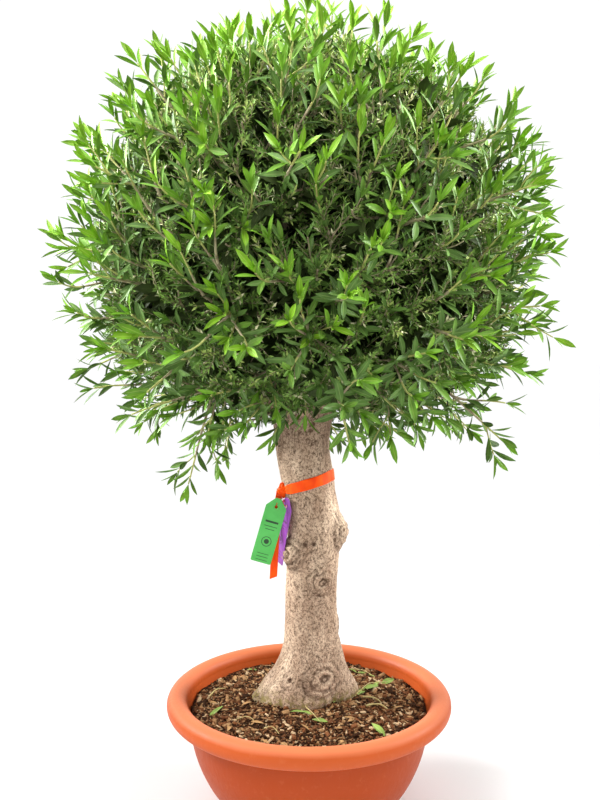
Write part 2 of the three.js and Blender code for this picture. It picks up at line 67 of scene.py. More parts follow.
# ---- Numbers ----
def rgb(red: float, green: float, blue: float) -> Colour:
    """Turns a colour as a screen shows it into the light that a shader works with.

    Args:
        red: From 0 to 255.
        green: From 0 to 255.
        blue: From 0 to 255.

    Returns:
        The linear colour with full opacity.
    """
    shown = [value / 255 for value in (red, green, blue)]
    linear = [v / 12.92 if v <= 0.04045 else ((v + 0.055) / 1.055) ** 2.4 for v in shown]
    return (*linear, 1.0)


def unit(vectors: Array) -> Array:
    """The vectors at length one."""
    return vectors / np.maximum(np.linalg.norm(vectors, axis=-1, keepdims=True), 1e-12)


def around(azimuth: Array) -> Array:
    """The level unit vectors at azimuths in radians."""
    azimuth = np.asarray(azimuth, float)
    return np.stack([np.cos(azimuth), np.sin(azimuth), np.zeros_like(azimuth)], -1)


def full_turn(count: int) -> Array:
    """Azimuths evenly spaced round a full turn, in radians."""
    return np.linspace(0, 2 * math.pi, count, endpoint=False)


def beside(axes: Array, turn: Array) -> Array:
    """Finds directions square to axes.

    Args:
        axes: Unit vectors.
        turn: How far round its axis each direction is turned, in radians.

    Returns:
        The unit vectors.
    """
    side = unit(np.cross(axes, UP) + 1e-4)
    return side * np.cos(turn)[:, None] + np.cross(axes, side) * np.sin(turn)[:, None]


def wrapped(angle: Array) -> Array:
    """The same angles between minus and plus half a turn."""
    return (angle + math.pi) % (2 * math.pi) - math.pi


def smooth(value: Array, low: float, high: float) -> Array:
    """How far each value is from low to high, eased at both ends."""
    share = np.clip((value - low) / (high - low), 0, 1)
    return share * share * (3 - 2 * share)


def noise(points: Array, seed: int = 0) -> Array:
    """Smooth random values that change over about one unit of length.

    Args:
        points: Places, with three coordinates in the last axis.
        seed: Which of many such fields it is.

    Returns:
        A value from -1 to 1 at each place.
    """
    points = points @ ASKEW
    cell = np.floor(points).astype(np.int64)
    part = points - cell
    part = part * part * (3 - 2 * part)
    total = np.zeros(points.shape[:-1])
    for corner in itertools.product((0, 1), repeat=3):
        key = (cell + corner) @ np.array([73856093, 19349663, 83492791]) + seed * 40503
        key = ((key ^ (key >> 13)) * 1274126177) & 0xFFFFFFFF
        key = ((key ^ (key >> 16)) * 73244475) & 0xFFFFFFFF
        weight = np.prod(np.where(corner, part, 1 - part), axis=-1)
        total += weight * ((key >> 7 & 0xFFFF) / 0x7FFF - 1)
    return total


def seeded_numbers(seed: int) -> Iterator[float]:
    """Draws numbers from 0 to 1 without end, the same ones as the solids' shoots are drawn by.

    Args:
        seed: Which row of numbers it is.

    Yields:
        The next number.
    """
    state = seed & 0xFFFFFFFF
    while True:
        state = (state + 0x6D2B79F5) & 0xFFFFFFFF
        mixed = ((state ^ (state >> 15)) * (state | 1)) & 0xFFFFFFFF
        mixed ^= (mixed + ((mixed ^ (mixed >> 7)) * (mixed | 61) & 0xFFFFFFFF)) & 0xFFFFFFFF
        yield ((mixed ^ (mixed >> 14)) & 0xFFFFFFFF) / 2**32


# ---- Meshes ----
def skin(rings: Array, first: Array, last: Array) -> tuple[Array, list]:
    """Joins rings of points, and closes each end with a fan.

    Args:
        rings: Ring by ring, the same number of points in each, counter-clockwise from above.
        first: The point that closes the first ring.
        last: The point that closes the last ring.

    Returns:
        The points and the faces, which look outwards where the rings climb.
    """
    count, sides = rings.shape[:2]
    ring, side = np.meshgrid(np.arange(count - 1), np.arange(sides), indexing="ij")
    start, end = ring * sides + side, ring * sides + (side + 1) % sides
    faces = np.stack([start, end, end + sides, start + sides], -1).reshape(-1, 4).tolist()
    total, top = count * sides, (count - 1) * sides
    faces += [(total, (s + 1) % sides, s) for s in range(sides)]
    faces += [(total + 1, top + s, top + (s + 1) % sides) for s in range(sides)]
    return np.concatenate([rings.reshape(-1, 3), first[None], last[None]]), faces


def sheet_faces(rows: int, columns: int, closed: bool = False) -> list:
    """Lists the faces of a sheet of points.

    Args:
        rows: How many rows of points it has.
        columns: How many points there are in a row.
        closed: Whether the last row is joined to the first.

    Returns:
        Four vertex numbers for each face.
    """
    row, column = np.meshgrid(np.arange(rows - 1), np.arange(columns - 1), indexing="ij")
    start = row * columns + column
    corners = [start, start + 1, start + columns + 1, start + columns]
    faces = np.stack(corners, -1).reshape(-1, 4).tolist()
    if closed:
        last = (rows - 1) * columns
        faces += [[last + i, last + i + 1, i + 1, i] for i in range(columns - 1)]
    return faces


def flipped(faces: list) -> list:
    """The same faces, looking the other way."""
    return [face[::-1] for face in faces]


def joined(parts: list) -> tuple[Array, list]:
    """Joins meshes into one.

    Args:
        parts: The points and the faces of each mesh.

    Returns:
        All the points, and all the faces with their vertex numbers moved on.
    """
    points, faces, start = [], [], 0
    for its_points, its_faces in parts:
        points.append(its_points)
        faces += [[start + corner for corner in face] for face in its_faces]
        start += len(its_points)
    return np.concatenate(points), faces


def new_object(
    name: str, points: Array, faces: list = (), edges: list = (), material: Material | None = None
) -> Piece:
    """Makes an object of a mesh, in the scene's collection.

    Args:
        name: The piece's name.
        points: The places of its vertices.
        faces: Lists of vertex numbers, each face counter-clockwise from outside.
        edges: Pairs of vertex numbers, for a mesh without faces.
        material: What it is dressed in, where no growth dresses it later.

    Returns:
        The object, at the origin.
    """
    mesh = bpy.data.meshes.new(name)
    mesh.from_pydata(np.asarray(points).reshape(-1, 3).tolist(), edges, faces)
    mesh.validate()
    mesh.shade_smooth()
    if material:
        mesh.materials.append(material)
    piece = bpy.data.objects.new(name, mesh)
    bpy.context.scene.collection.objects.link(piece)
    return piece


def set_attribute(piece: Piece, name: str, values: Array) -> None:
    """Stores a number or a vector on each vertex of a piece.

    Args:
        piece: The mesh object.
        name: The attribute's name, as nodes read it.
        values: One number, or one vector, for each vertex.
    """
    kind, key = ("FLOAT", "value") if values.ndim == 1 else ("FLOAT_VECTOR", "vector")
    attribute = piece.data.attributes.new(name, kind, "POINT")
    attribute.data.foreach_set(key, values.astype(np.float32).ravel())


def point_object(name: str, rows: Array) -> Piece:
    """Makes an object of points for a growth to put shapes on.

    Args:
        name: The piece's name.
        rows: The place, the turn and the size at each point, three numbers each.

    Returns:
        The object.
    """
    piece = new_object(name, rows[:, :3])
    set_attribute(piece, "turn", rows[:, 3:6])
    set_attribute(piece, "size", rows[:, 6:9])
    return piece


def line_object(name: str, lines: list, radii: list) -> Piece:
    """Makes an object of lines for a growth to give their thickness.

    Args:
        name: The piece's name.
        lines: Sets of lines, each an array of lines by points by coordinates.
        radii: The radius at each of those points.

    Returns:
        The object.
    """
    edges, start = [], 0
    for some in lines:
        number = np.arange(some.shape[0] * some.shape[1]).reshape(some.shape[:2]) + start
        edges += np.stack([number[:, :-1], number[:, 1:]], -1).reshape(-1, 2).tolist()
        start += number.size
    piece = new_object(name, np.concatenate([some.reshape(-1, 3) for some in lines]), edges=edges)
    set_attribute(piece, "radius", np.concatenate([some.ravel() for some in radii]))
    return piece


def thicken(piece: Piece, thickness: float) -> None:
    """Adds the modifier that gives a sheet its thickness, half of it on each side."""
    solid = piece.modifiers.new("thickness", "SOLIDIFY")
    solid.thickness = thickness
    solid.offset = 0


def applied(piece: Piece) -> Piece:
    """Turns a piece's modifiers into its plain mesh.

    Args:
        piece: The object, whose modifiers are then removed.

    Returns:
        The same object.
    """
    bpy.context.view_layer.update()
    graph = bpy.context.evaluated_depsgraph_get()
    source = piece.evaluated_get(graph)
    made = bpy.data.meshes.new_from_object(source, preserve_all_data_layers=True, depsgraph=graph)
    made.name = piece.data.name + "_made"
    piece.modifiers.clear()
    piece.data = made
    return piece


def placed(piece: Piece, slot: str, *nodes: str) -> Piece:
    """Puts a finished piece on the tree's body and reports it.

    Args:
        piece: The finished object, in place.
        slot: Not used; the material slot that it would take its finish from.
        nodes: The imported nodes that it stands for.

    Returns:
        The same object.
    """
    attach(piece, BODY)
    if nodes:
        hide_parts(*nodes)
    log.info("%s: %d faces", piece.name, len(piece.data.polygons))
    return piece


# ---- Node trees ----
class Wiring:
    """Adds nodes to one tree and joins them."""

    def __init__(self, tree: bpy.types.NodeTree) -> None:
        """Works on the tree that it is given."""
        self.tree = tree

    def feed(self, node: bpy.types.Node, name: str | int, value: object) -> None:
        """Joins a socket to an input of a node, or sets the input to a plain value.

        Args:
            node: The node.
            name: The input's name, or its number.
            value: Another node's output, or the value.
        """
        if isinstance(name, int):
            socket = node.inputs[name]
        else:
            socket = next(s for s in node.inputs if s.name == name and s.enabled)
        if isinstance(value, Socket):
            self.tree.links.new(value, socket)
        else:
            socket.default_value = value

    def add(
        self, kind: str, inputs: dict | None = None, output: str | None = None, **settings: object
    ) -> Socket | None:
        """Adds a node.

        Args:
            kind: The node's type.
            inputs: A socket or a value for each input that isn't left as it is.
            output: The name of the output that is wanted, where it isn't the first.
            settings: The node's own properties.

        Returns:
            The output socket, if the node has one.
        """
        node = self.tree.nodes.new(kind)
        for name, value in settings.items():
            setattr(node, name, value)
        for name, value in (inputs or {}).items():
            self.feed(node, name, value)
        if output:
            return node.outputs[output]
        return next((socket for socket in node.outputs if socket.enabled), None)

    def math(self, operation: str, *values: object) -> Socket:
        """A sum on one to three numbers."""
        return self.add("ShaderNodeMath", dict(enumerate(values)), operation=operation)

    def blend(self, share: Socket, low: object, high: object) -> Socket:
        """A colour that goes from low to high as share goes from 0 to 1."""
        inputs = {"Factor": share, "A": low, "B": high}
        return self.add("ShaderNodeMix", inputs, "Result", data_type="RGBA", clamp_factor=True)

    def between(
        self, value: Socket, low: float, high: float, start: float = 0.0, end: float = 1.0
    ) -> Socket:
        """A value from low to high, laid out from start to end."""
        ends = {"From Min": low, "From Max": high, "To Min": start, "To Max": end}
        return self.add("ShaderNodeMapRange", {"Value": value, **ends})


class Surface(Wiring):
    """The node tree of one material, with the shader that every finish ends in."""

    def __init__(self, name: str) -> None:
        """Makes an empty material.

        Args:
            name: Its name.
        """
        self.material = bpy.data.materials.new(name)
        self.material.use_nodes = True
        self.material.node_tree.nodes.clear()
        super().__init__(self.material.node_tree)
        self.place = self.add("ShaderNodeTexCoord", output="Object")

    def grain(
        self, scale: float, stretch: tuple = (1, 1, 1), detail: float = 3.0, rough: float = 0.55
    ) -> Socket:
        """Noise on the piece's own coordinates.

        Args:
            scale: How many times it changes in a metre.
            stretch: How many times as often again along each axis.
            detail: How many finer layers it has.
            rough: How strong the finer layers are.

        Returns:
            The noise's value, from 0 to 1.
        """
        place = self.add("ShaderNodeMapping", {"Vector": self.place, "Scale": stretch})
        inputs = {"Vector": place, "Scale": scale, "Detail": detail, "Roughness": rough}
        return self.add("ShaderNodeTexNoise", inputs)

    def finish(
        self,
        colour: Socket,
        rough: object,
        specular: float = 0.5,
        height: Socket | None = None,
        strength: float = 0.0,
        depth: float = 0.001,
    ) -> Material:
        """Ends the tree in its shader.

        Args:
            colour: The base colour.
            rough: The roughness, a number or a socket.
            specular: How strong the highlights are.
            height: What the surface's relief follows, if it has any.
            strength: How strongly the relief shows.
            depth: How deep it is.

        Returns:
            The material.
        """
        inputs = {"Base Color": colour, "Roughness": rough, "Specular IOR Level": specular}
        if height is not None:
            relief = {"Height": height, "Strength": strength, "Distance": depth}
            inputs["Normal"] = self.add("ShaderNodeBump", relief)
        shader = self.add("ShaderNodeBsdfPrincipled", inputs)
        self.add("ShaderNodeOutputMaterial", {"Surface": shader})
        return self.material


class Growth(Wiring):
    """A Geometry Nodes tree that is run once on a mesh, with its sizes as named inputs."""

    def __init__(self, name: str, **sizes: float) -> None:
        """Makes the tree and its inputs.

        Args:
            name: The tree's name.
            sizes: The inputs and their usual values, with _ for a space in their names.
        """
        tree = bpy.data.node_groups.new(name, "GeometryNodeTree")
        super().__init__(tree)
        face = tree.interface
        face.new_socket("Geometry", in_out="INPUT", socket_type="NodeSocketGeometry")
        for label, value in sizes.items():
            kind = "NodeSocketInt" if isinstance(value, int) else "NodeSocketFloat"
            socket = face.new_socket(label.replace("_", " "), in_out="INPUT", socket_type=kind)
            socket.default_value = value
        face.new_socket("Material", in_out="INPUT", socket_type="NodeSocketMaterial")
        face.new_socket("Geometry", in_out="OUTPUT", socket_type="NodeSocketGeometry")
        self.given = tree.nodes.new("NodeGroupInput").outputs

    def named(self, name: str, kind: str = "FLOAT") -> Socket:
        """What the mesh stores under a name."""
        return self.add("GeometryNodeInputNamedAttribute", {"Name": name}, data_type=kind)

    def copies(self, shape: Socket) -> Socket:
        """Puts a shape on each point, turned and sized as the point says, as real geometry.

        Args:
            shape: The geometry to repeat.

        Returns:
            The joined geometry.
        """
        euler = self.named("turn", "FLOAT_VECTOR")
        turn = self.add("FunctionNodeEulerToRotation", {"Euler": euler})
        inputs = {
            "Points": self.given["Geometry"],
            "Instance": shape,
            "Rotation": turn,
            "Scale": self.named("size", "FLOAT_VECTOR"),
        }
        copies = self.add("GeometryNodeInstanceOnPoints", inputs)
        return self.add("GeometryNodeRealizeInstances", {"Geometry": copies})

    def end(self, geometry: Socket) -> "Growth":
        """Ends the tree: real geometry, dressed; run shades it smooth afterwards.

        Args:
            geometry: What it has made.

        Returns:
            The finished growth.
        """
        real = self.add("GeometryNodeRealizeInstances", {"Geometry": geometry})
        inputs = {"Geometry": real, "Material": self.given["Material"]}
        self.add("NodeGroupOutput", {"Geometry": self.add("GeometryNodeSetMaterial", inputs)})
        return self

    def run(self, piece: Piece, material: Material, **sizes: float) -> Piece:
        """Grows on a piece's mesh and turns the result into its plain mesh.

        Args:
            piece: The object whose vertices or edges the growth follows.
            material: What it is dressed in.
            sizes: Values for the tree's inputs, with _ for a space in their names.

        Returns:
            The same object.
        """
        modifier = piece.modifiers.new(self.tree.name, "NODES")
        modifier.node_group = self.tree
        values = {label.replace("_", " "): value for label, value in sizes.items()}
        values["Material"] = material
        for socket in self.tree.interface.items_tree:
            if socket.in_out == "INPUT" and socket.name in values:
                modifier[socket.identifier] = values[socket.name]
        applied(piece)
        piece.data.shade_smooth()
        return piece


def leaf_growth() -> Growth:
    """Leaves: a blade with pointed ends, folded along its rib and bent back, on every point.

    Returns:
        The growth. A point's size is the blade's width, its length and its width again.
    """
    grow = Growth("leaves", Along=6, Fold=0.36, Bend=0.4, Fullness=0.84, Belly=1.2)
    inputs = {"Size X": 1.0, "Size Y": 1.0, "Vertices X": 3, "Vertices Y": grow.given["Along"]}
    grid = grow.add("GeometryNodeMeshGrid", inputs, "Mesh")
    place = grow.add("ShaderNodeSeparateXYZ", {"Vector": grow.add("GeometryNodeInputPosition")})
    across, length = place, place.node.outputs["Y"]
    along = grow.math("ADD", length, 0.5)
    belly = grow.math("POWER", along, grow.given["Belly"])
    round_ = grow.math("SINE", grow.math("MULTIPLY", belly, math.pi - 1e-4))
    width = grow.math("POWER", grow.math("MAXIMUM", round_, 0.0), grow.given["Fullness"])
    side = grow.math("MULTIPLY", across, width)
    fold = grow.math("MULTIPLY", grow.math("ABSOLUTE", side), grow.given["Fold"])
    back = grow.math("MULTIPLY", grow.math("MULTIPLY", along, along), grow.given["Bend"])
    lift = grow.math("SUBTRACT", fold, back)
    shape = grow.add("ShaderNodeCombineXYZ", {"X": side, "Y": along, "Z": lift})
    flat_map = grow.add("ShaderNodeCombineXYZ", {"X": grow.math("ADD", across, 0.5), "Y": along})
    mapped = grow.add(
        "GeometryNodeStoreNamedAttribute",
        {"Geometry": grid, "Name": LEAF_MAP, "Value": flat_map},
        data_type="FLOAT2",
        domain="CORNER",
    )
    blade = grow.add("GeometryNodeSetPosition", {"Geometry": mapped, "Position": shape})
    blade = grow.add("GeometryNodeMergeByDistance", {"Geometry": blade, "Distance": 0.002})
    return grow.end(grow.copies(blade))


def twig_growth() -> Growth:
    """Twigs: a round section along every line of edges, as thick as its points' radius says.

    Returns:
        The growth.
    """
    grow = Growth("twigs", Sides=4)
    line = grow.add("GeometryNodeMeshToCurve", {"Mesh": grow.given["Geometry"]})
    inputs = {"Resolution": grow.given["Sides"], "Radius": 1.0}
    section = grow.add("GeometryNodeCurvePrimitiveCircle", inputs)
    inputs = {"Curve": line, "Profile Curve": section, "Scale": grow.named("radius")}
    return grow.end(grow.add("GeometryNodeCurveToMesh", {**inputs, "Fill Caps": True}))


def chip_growth() -> Growth:
    """Chips: a crooked block on every point, no two alike.

    Returns:
        The growth. A point's size is the block's length, width and thickness.
    """
    grow = Growth("chips", Crooked=0.003, Pattern=260.0)
    block = grow.add("GeometryNodeMeshCube", {"Size": (1.0, 1.0, 1.0)}, "Mesh")
    chips = grow.copies(block)
    pattern = {"Vector": grow.add("GeometryNodeInputPosition"), "Scale": grow.given["Pattern"]}
    wild = grow.add("ShaderNodeTexNoise", {**pattern, "Detail": 1.0}, "Color")
    centred = grow.add("ShaderNodeVectorMath", {0: wild, 1: (0.5, 0.5, 0.5)}, operation="SUBTRACT")
    inputs = {0: centred, "Scale": grow.given["Crooked"]}
    shift = grow.add("ShaderNodeVectorMath", inputs, operation="SCALE")
    return grow.end(grow.add("GeometryNodeSetPosition", {"Geometry": chips, "Offset": shift}))


# ---- Finishes ----
@dataclass(frozen=True)
class MouldedPlastic:
    """Terracotta-coloured plastic, a little scuffed and dusty, its wall darkened by painted shade
    and its rim's top lit by a painted highlight.
    """

    # painted light: the wall is painted darker than the roll as shade, and the roll's top is
    # painted lighter as a highlight
    wall: Colour = rgb(164, 62, 8)
    roll: Colour = rgb(186, 82, 32)
    painted_highlight: Colour = rgb(214, 118, 76)
    dust: Colour = rgb(200, 116, 74)
    roll_height: float = 0.216
    highlight_height: float = 0.249
    top_height: float = 0.259
    wave: float = 0.006  # how far the borders of its colours waver
    border: float = 0.008  # how wide the border between wall and roll is

    def make(self) -> Material:
        """Makes the material.

        Returns:
            The material, named after the finish.
        """
        surface = Surface("moulded_plastic")
        height = surface.add("ShaderNodeSeparateXYZ", {"Vector": surface.place}, "Z")
        clouds = surface.grain(9, detail=4)
        wavy = surface.math("MULTIPLY_ADD", clouds, self.wave, height)
        # painted shade on the wall below the roll, then a painted highlight over the top of the
        # roll, by height
        rolled = surface.between(wavy, self.roll_height, self.roll_height + self.border)
        colour = surface.blend(rolled, self.wall, self.roll)
        highlit = surface.between(wavy, self.highlight_height, self.top_height)
        colour = surface.blend(highlit, colour, self.painted_highlight)
        dust = surface.between(surface.grain(60, detail=5, rough=0.7), 0.56, 0.8, 0, 0.3)
        scuffs = surface.grain(220, (1, 1, 0.12), detail=2)
        colour = surface.blend(dust, colour, self.dust)
        rough = surface.between(scuffs, 0.3, 0.7, 0.4, 0.54)
        return surface.finish(colour, rough, 0.2, surface.grain(420, detail=2), 0.12, 0.0006)


@dataclass(frozen=True)
class Bark:
    """Grey-tan bark with dark flecks, painted shade in its hollows and creases, and mossy where it
    is damp.
    """

    name: str = "bark"
    light: Colour = rgb(218, 193, 166)
    mid: Colour = rgb(164, 136, 112)
    dark: Colour = rgb(84, 58, 38)
    fleck: Colour = rgb(58, 34, 18)
    moss: Colour = rgb(128, 114, 64)

    def make(self) -> Material:
        """Makes the material, which reads the piece's dark flecks with painted shade, and its moss.

        Returns:
            The material, named after the finish.
        """
        surface = Surface(self.name)
        crust = surface.grain(250, (1, 1, 0.7), detail=5, rough=0.75)
        patches = surface.grain(20, (1, 1, 0.45), detail=4)
        colour = surface.blend(surface.between(patches, 0.35, 0.66), self.mid, self.light)
        colour = surface.blend(surface.between(crust, 0.54, 0.36, 0, 0.9), colour, self.dark)
        flecks = surface.grain(340, (1, 1, 1.5), detail=3, rough=0.6)
        colour = surface.blend(surface.between(flecks, 0.43, 0.34, 0, 0.9), colour, self.fleck)
        # dark flecks and cracks of the bark, with painted shade in hollows, creases and under the
        # head
        fleck_and_shade = surface.add("ShaderNodeAttribute", output="Fac", attribute_name="fleck_and_shade")
        colour = surface.blend(surface.between(fleck_and_shade, 0.05, 1.0, 0, 0.9), colour, self.fleck)
        moss = surface.add("ShaderNodeAttribute", output="Fac", attribute_name="moss")
        tufts = surface.between(surface.grain(90, detail=4), 0.42, 0.6)
        colour = surface.blend(surface.math("MULTIPLY", moss, tufts), colour, self.moss)
        height = surface.math("ADD", crust, surface.math("MULTIPLY", flecks, 0.7))
        return surface.finish(colour, 0.86, 0.25, height, 0.55, 0.002)


@dataclass(frozen=True)
class LeafSkin:
    """One shade of leaf: a smooth skin with a paler rib, and a paler foot."""

    name: str
    colour: Colour
    rib: Colour
    rough: float = 0.5

    def make(self) -> Material:
        """Makes the material, which reads the leaf's own map, across and along.

        Returns:
            The material, named after the finish.
        """
        surface = Surface(f"leaf_{self.name}")
        flat_map = surface.add("ShaderNodeUVMap", uv_map=LEAF_MAP)
        across = surface.add("ShaderNodeSeparateXYZ", {"Vector": flat_map})
        along = across.node.outputs["Y"]
        off = surface.math("ABSOLUTE", surface.math("SUBTRACT", across, 0.5))
        rib = surface.between(off, 0.02, 0.075, 0.75, 0)
        foot = surface.between(along, 0.0, 0.3, 0.5, 0)
        tone = surface.between(surface.grain(42, detail=1), 0.3, 0.7, 0.72, 1.3)
        inputs = {"Color": self.colour, "Value": tone}
        colour = surface.add("ShaderNodeHueSaturation", inputs)
        colour = surface.blend(surface.math("MAXIMUM", rib, foot), colour, self.rib)
        return surface.finish(colour, self.rough, 0.2, off, 0.3, 0.002)


@dataclass(frozen=True)
class TwigSkin:
    """The skin of a young twig or an older one, with knots of a darker colour."""

    name: str
    colour: Colour
    dark: Colour

    def make(self) -> Material:
        """Makes the material.

        Returns:
            The material, named after the finish.
        """
        surface = Surface(f"twig_{self.name}")
        knots = surface.between(surface.grain(75, detail=3), 0.35, 0.65)
        colour = surface.blend(knots, self.dark, self.colour)
        return surface.finish(colour, 0.75, 0.5, surface.grain(500, detail=2), 0.4, 0.0006)


@dataclass(frozen=True)
class Compost:
    """Damp compost, or the chips of bark in it: mottled, with a fine crumb."""

    name: str
    colour: Colour
    dark: Colour
    scale: float = 190

    def make(self) -> Material:
        """Makes the material.

        Returns:
            The material, named after the finish.
        """
        surface = Surface(f"compost_{self.name}")
        crumb = surface.grain(self.scale, detail=5, rough=0.7)
        colour = surface.blend(surface.between(crumb, 0.36, 0.64), self.dark, self.colour)
        return surface.finish(colour, 0.9, 0.08, crumb, 0.8, 0.002)


@dataclass(frozen=True)
class Satin:
    """Woven ribbon, or twisted string, with a soft sheen and a fine weave."""

    name: str = "satin"
    colour: Colour = rgb(255, 92, 4)
    dark: Colour = rgb(240, 66, 0)
    weave: float = 238.095  # the scale of the threads' wave

    def make(self) -> Material:
        """Makes the material.

        Returns:
            The material, named after the finish.
        """
        surface = Surface(self.name)
        inputs = {"Vector": surface.place, "Scale": self.weave, "Distortion": 0.4}
        threads = surface.add("ShaderNodeTexWave", inputs, "Fac", bands_direction="Z")
        # darker in blotches at random
        blotches = surface.between(surface.grain(55, (1, 1, 0.5), detail=3), 0.35, 0.65)
        colour = surface.blend(blotches, self.dark, self.colour)
        return surface.finish(colour, 0.5, 0.15, threads, 0.25, 0.0003)


@dataclass(frozen=True)
class TagPlastic:
    """Thin printed plastic, a little uneven in colour."""

    name: str
    colour: Colour
    dark: Colour

    def make(self) -> Material:
        """Makes the material.

        Returns:
            The material, named after the finish.
        """
        surface = Surface(f"tag_{self.name}")
        clouds = surface.between(surface.grain(38, detail=3), 0.35, 0.7)
        colour = surface.blend(clouds, self.dark, self.colour)
        return surface.finish(colour, 0.44, 0.5, surface.grain(900, detail=1), 0.1, 0.0003)


@dataclass(frozen=True)
class PaleFloor:
    """The plain pale floor."""

    colour: Colour = (0.95, 0.95, 0.95, 1.0)
    light: Colour = (0.97, 0.97, 0.97, 1.0)

    def make(self) -> Material:
        """Makes the material.

        Returns:
            The material, named after the finish.
        """
        surface = Surface("pale_floor")
        tone = surface.between(surface.grain(3, detail=1), 0.3, 0.7)
        colour = surface.blend(tone, self.colour, self.light)
        return surface.finish(colour, 0.8)


# ---- Bowl and compost ----
@dataclass
class Bowl:
    """The wide round bowl with its rolled rim."""

    height: float = 0.260
    rim_radius: float = 0.300
    roll_radius: float = 0.022
    wall_top_radius: float = 0.254
    base_radius: float = 0.140
    wall: float = 0.006
    floor: float = 0.008
    height_power: float = 1.87
    radius_power: float = 1.46
    sides: int = 208
    foot_step: float = 0.004
    foot_edge: tuple = ((-0.012, 0), (-0.002, 0.0008))  # beyond the base's radius, and up
    rim_turn: tuple = (-120, 191, 7)  # from, to and by how many degrees the rim is rolled
    finish: MouldedPlastic = MouldedPlastic()

    def side(self, height: Array) -> Array:
        """The outer radius of the side at a height."""
        share = 1 - np.asarray(height) / (self.height - 2 * self.roll_radius)
        full = (1 - np.clip(share, 0, 1) ** self.height_power) ** (1 / self.radius_power)
        return self.base_radius + (self.wall_top_radius - self.base_radius) * full

    def profile(self) -> Array:
        """The section of the wall, from under the middle, over the rim and down inside.

        Returns:
            Radius and height of each point.
        """
        shoulder = self.height - 2 * self.roll_radius
        climb = np.linspace(0, 1, 30) ** 1.25 * (shoulder - self.foot_step) + self.foot_step
        outside = np.stack([self.side(climb), climb], -1)
        turn = np.radians(np.arange(*self.rim_turn))
        roll = np.array([self.rim_radius - self.roll_radius, self.height - self.roll_radius])
        rim = roll + self.roll_radius * np.stack([np.cos(turn), np.sin(turn)], -1)
        inside = np.stack([self.side(climb) - self.wall, climb], -1)[::-1]
        foot = np.array(self.foot_edge) + [self.base_radius, 0]
        floor = [[self.base_radius - self.wall, self.floor]]
        return np.concatenate([foot, outside, rim, inside[:-2], floor])

    def build(self) -> None:
        """Turns the section round and dresses it."""
        section = self.profile()
        rings = section[:, None, :1] * around(full_turn(self.sides))[None]
        rings[..., 2] = section[:, 1:]
        points, faces = skin(rings, np.zeros(3), np.array([0, 0, self.floor]))
        piece = new_object("bowl_moulding", points, faces, material=self.finish.make())
        placed(piece, "bowl", "bowl")


class ChipKind(Enum):
    """The colours of the chips in the compost: a face colour, a dark one, and how many."""

    PEAT = (rgb(78, 51, 33), rgb(30, 17, 9), 0.28)
    BROWN = (rgb(134, 90, 60), rgb(76, 45, 26), 0.26)
    RUST = (rgb(150, 98, 62), rgb(88, 50, 30), 0.14)
    TAN = (rgb(188, 148, 104), rgb(126, 90, 58), 0.22)
    PALE = (rgb(230, 202, 162), rgb(176, 142, 104), 0.10)


@dataclass
class Fill:
    """The compost: a crumbly mound covered with chips of bark."""

    bowl: Bowl
    edge_height: float = 0.225
    crown_height: float = 0.245
    crown_radius: float = 0.124
    sides: int = 220
    rings: int = 76
    bed: float = 0.001  # how far it is off the bowl's floor
    chips: int = 8200
    chip_length: tuple = (0.0035, 0.0215)
    chip_gap: float = 0.012  # how far the chips keep from the edge
    chip_scatter: float = 0.003
    seed: int = 61

    def top(self, places: Array) -> Array:
        """The height of the compost's surface.

        Args:
            places: Level places, two coordinates each.

        Returns:
            The height at each place.
        """
        radius = np.linalg.norm(places, axis=-1)
        rise = smooth(radius, self.bowl.wall_top_radius, self.crown_radius * 0.8)
        height = self.edge_height + (self.crown_height - self.edge_height) * rise
        flat = np.concatenate([places, np.zeros_like(places[..., :1])], -1)
        lumps = 0.0032 * noise(flat / 0.045, 3) + 0.0016 * noise(flat / 0.014, 4)
        return height + lumps + 0.0009 * noise(flat / 0.005, 5)

    def build_mound(self) -> None:
        """Builds the surface of the compost and its sides inside the bowl."""
        wall = self.bowl.side(self.edge_height) - self.bowl.wall - 0.0004
        outward = around(full_turn(self.sides))[None]
        radius = np.linspace(0.03, 1, self.rings)[::-1] * wall
        rings = radius[:, None, None] * outward
        rings[..., 2] = self.top(rings[..., :2])
        foot = self.bowl.floor + self.bed
        depth = np.linspace(foot, self.edge_height - 0.01, 12)
        inner = self.bowl.side(depth) - self.bowl.wall - 0.0006
        low = inner[:, None, None] * outward
        low[..., 2] = depth[:, None]
        top = np.array([0, 0, self.top(np.zeros((1, 2)))[0]])
        points, faces = skin(np.concatenate([low, rings]), UP * foot, top)
        finish = Compost("mound", rgb(66, 40, 24), rgb(26, 13, 6)).make()
        placed(new_object("compost_mound", points, faces, material=finish), "soil", "soil")

    def build_chips(self, grow: Growth) -> None:
        """Scatters chips over the compost, each colour in one piece.

        Args:
            grow: The growth that puts a chip on each point.
        """
        random = np.random.default_rng(self.seed)
        for kind in ChipKind:
            face, dark, share = kind.value
            count = int(self.chips * share)
            even = (np.arange(count) + random.random(count)) / count
            edge = self.bowl.side(self.edge_height) - self.chip_gap
            azimuth = (np.arange(count) + random.random()) * GOLDEN_ANGLE
            spot = (np.sqrt(0.055 + 0.945 * even) * edge)[:, None] * around(azimuth)[:, :2]
            spot = spot + random.normal(0, self.chip_scatter, spot.shape)
            length = self.chip_length[0] + np.ptp(self.chip_length) * random.beta(1.0, 3.6, count)
            wide, thick = random.uniform(0.22, 0.6, count), random.uniform(0.1, 0.32, count)
            size = length[:, None] * np.stack([np.ones(count), wide, thick], -1)
            height = self.top(spot) + size[:, 2] * random.uniform(0.1, 0.9, count)
            tilt = random.normal(0, 0.34, (count, 2))
            spin = random.uniform(0, 2 * math.pi, count)
            rows = np.column_stack([spot, height, tilt, spin, size])
            piece = point_object(f"chips_{kind.name.lower()}", rows)
            finish = Compost(kind.name.lower(), face, dark, 420)
            placed(grow.run(piece, finish.make()), "soil")


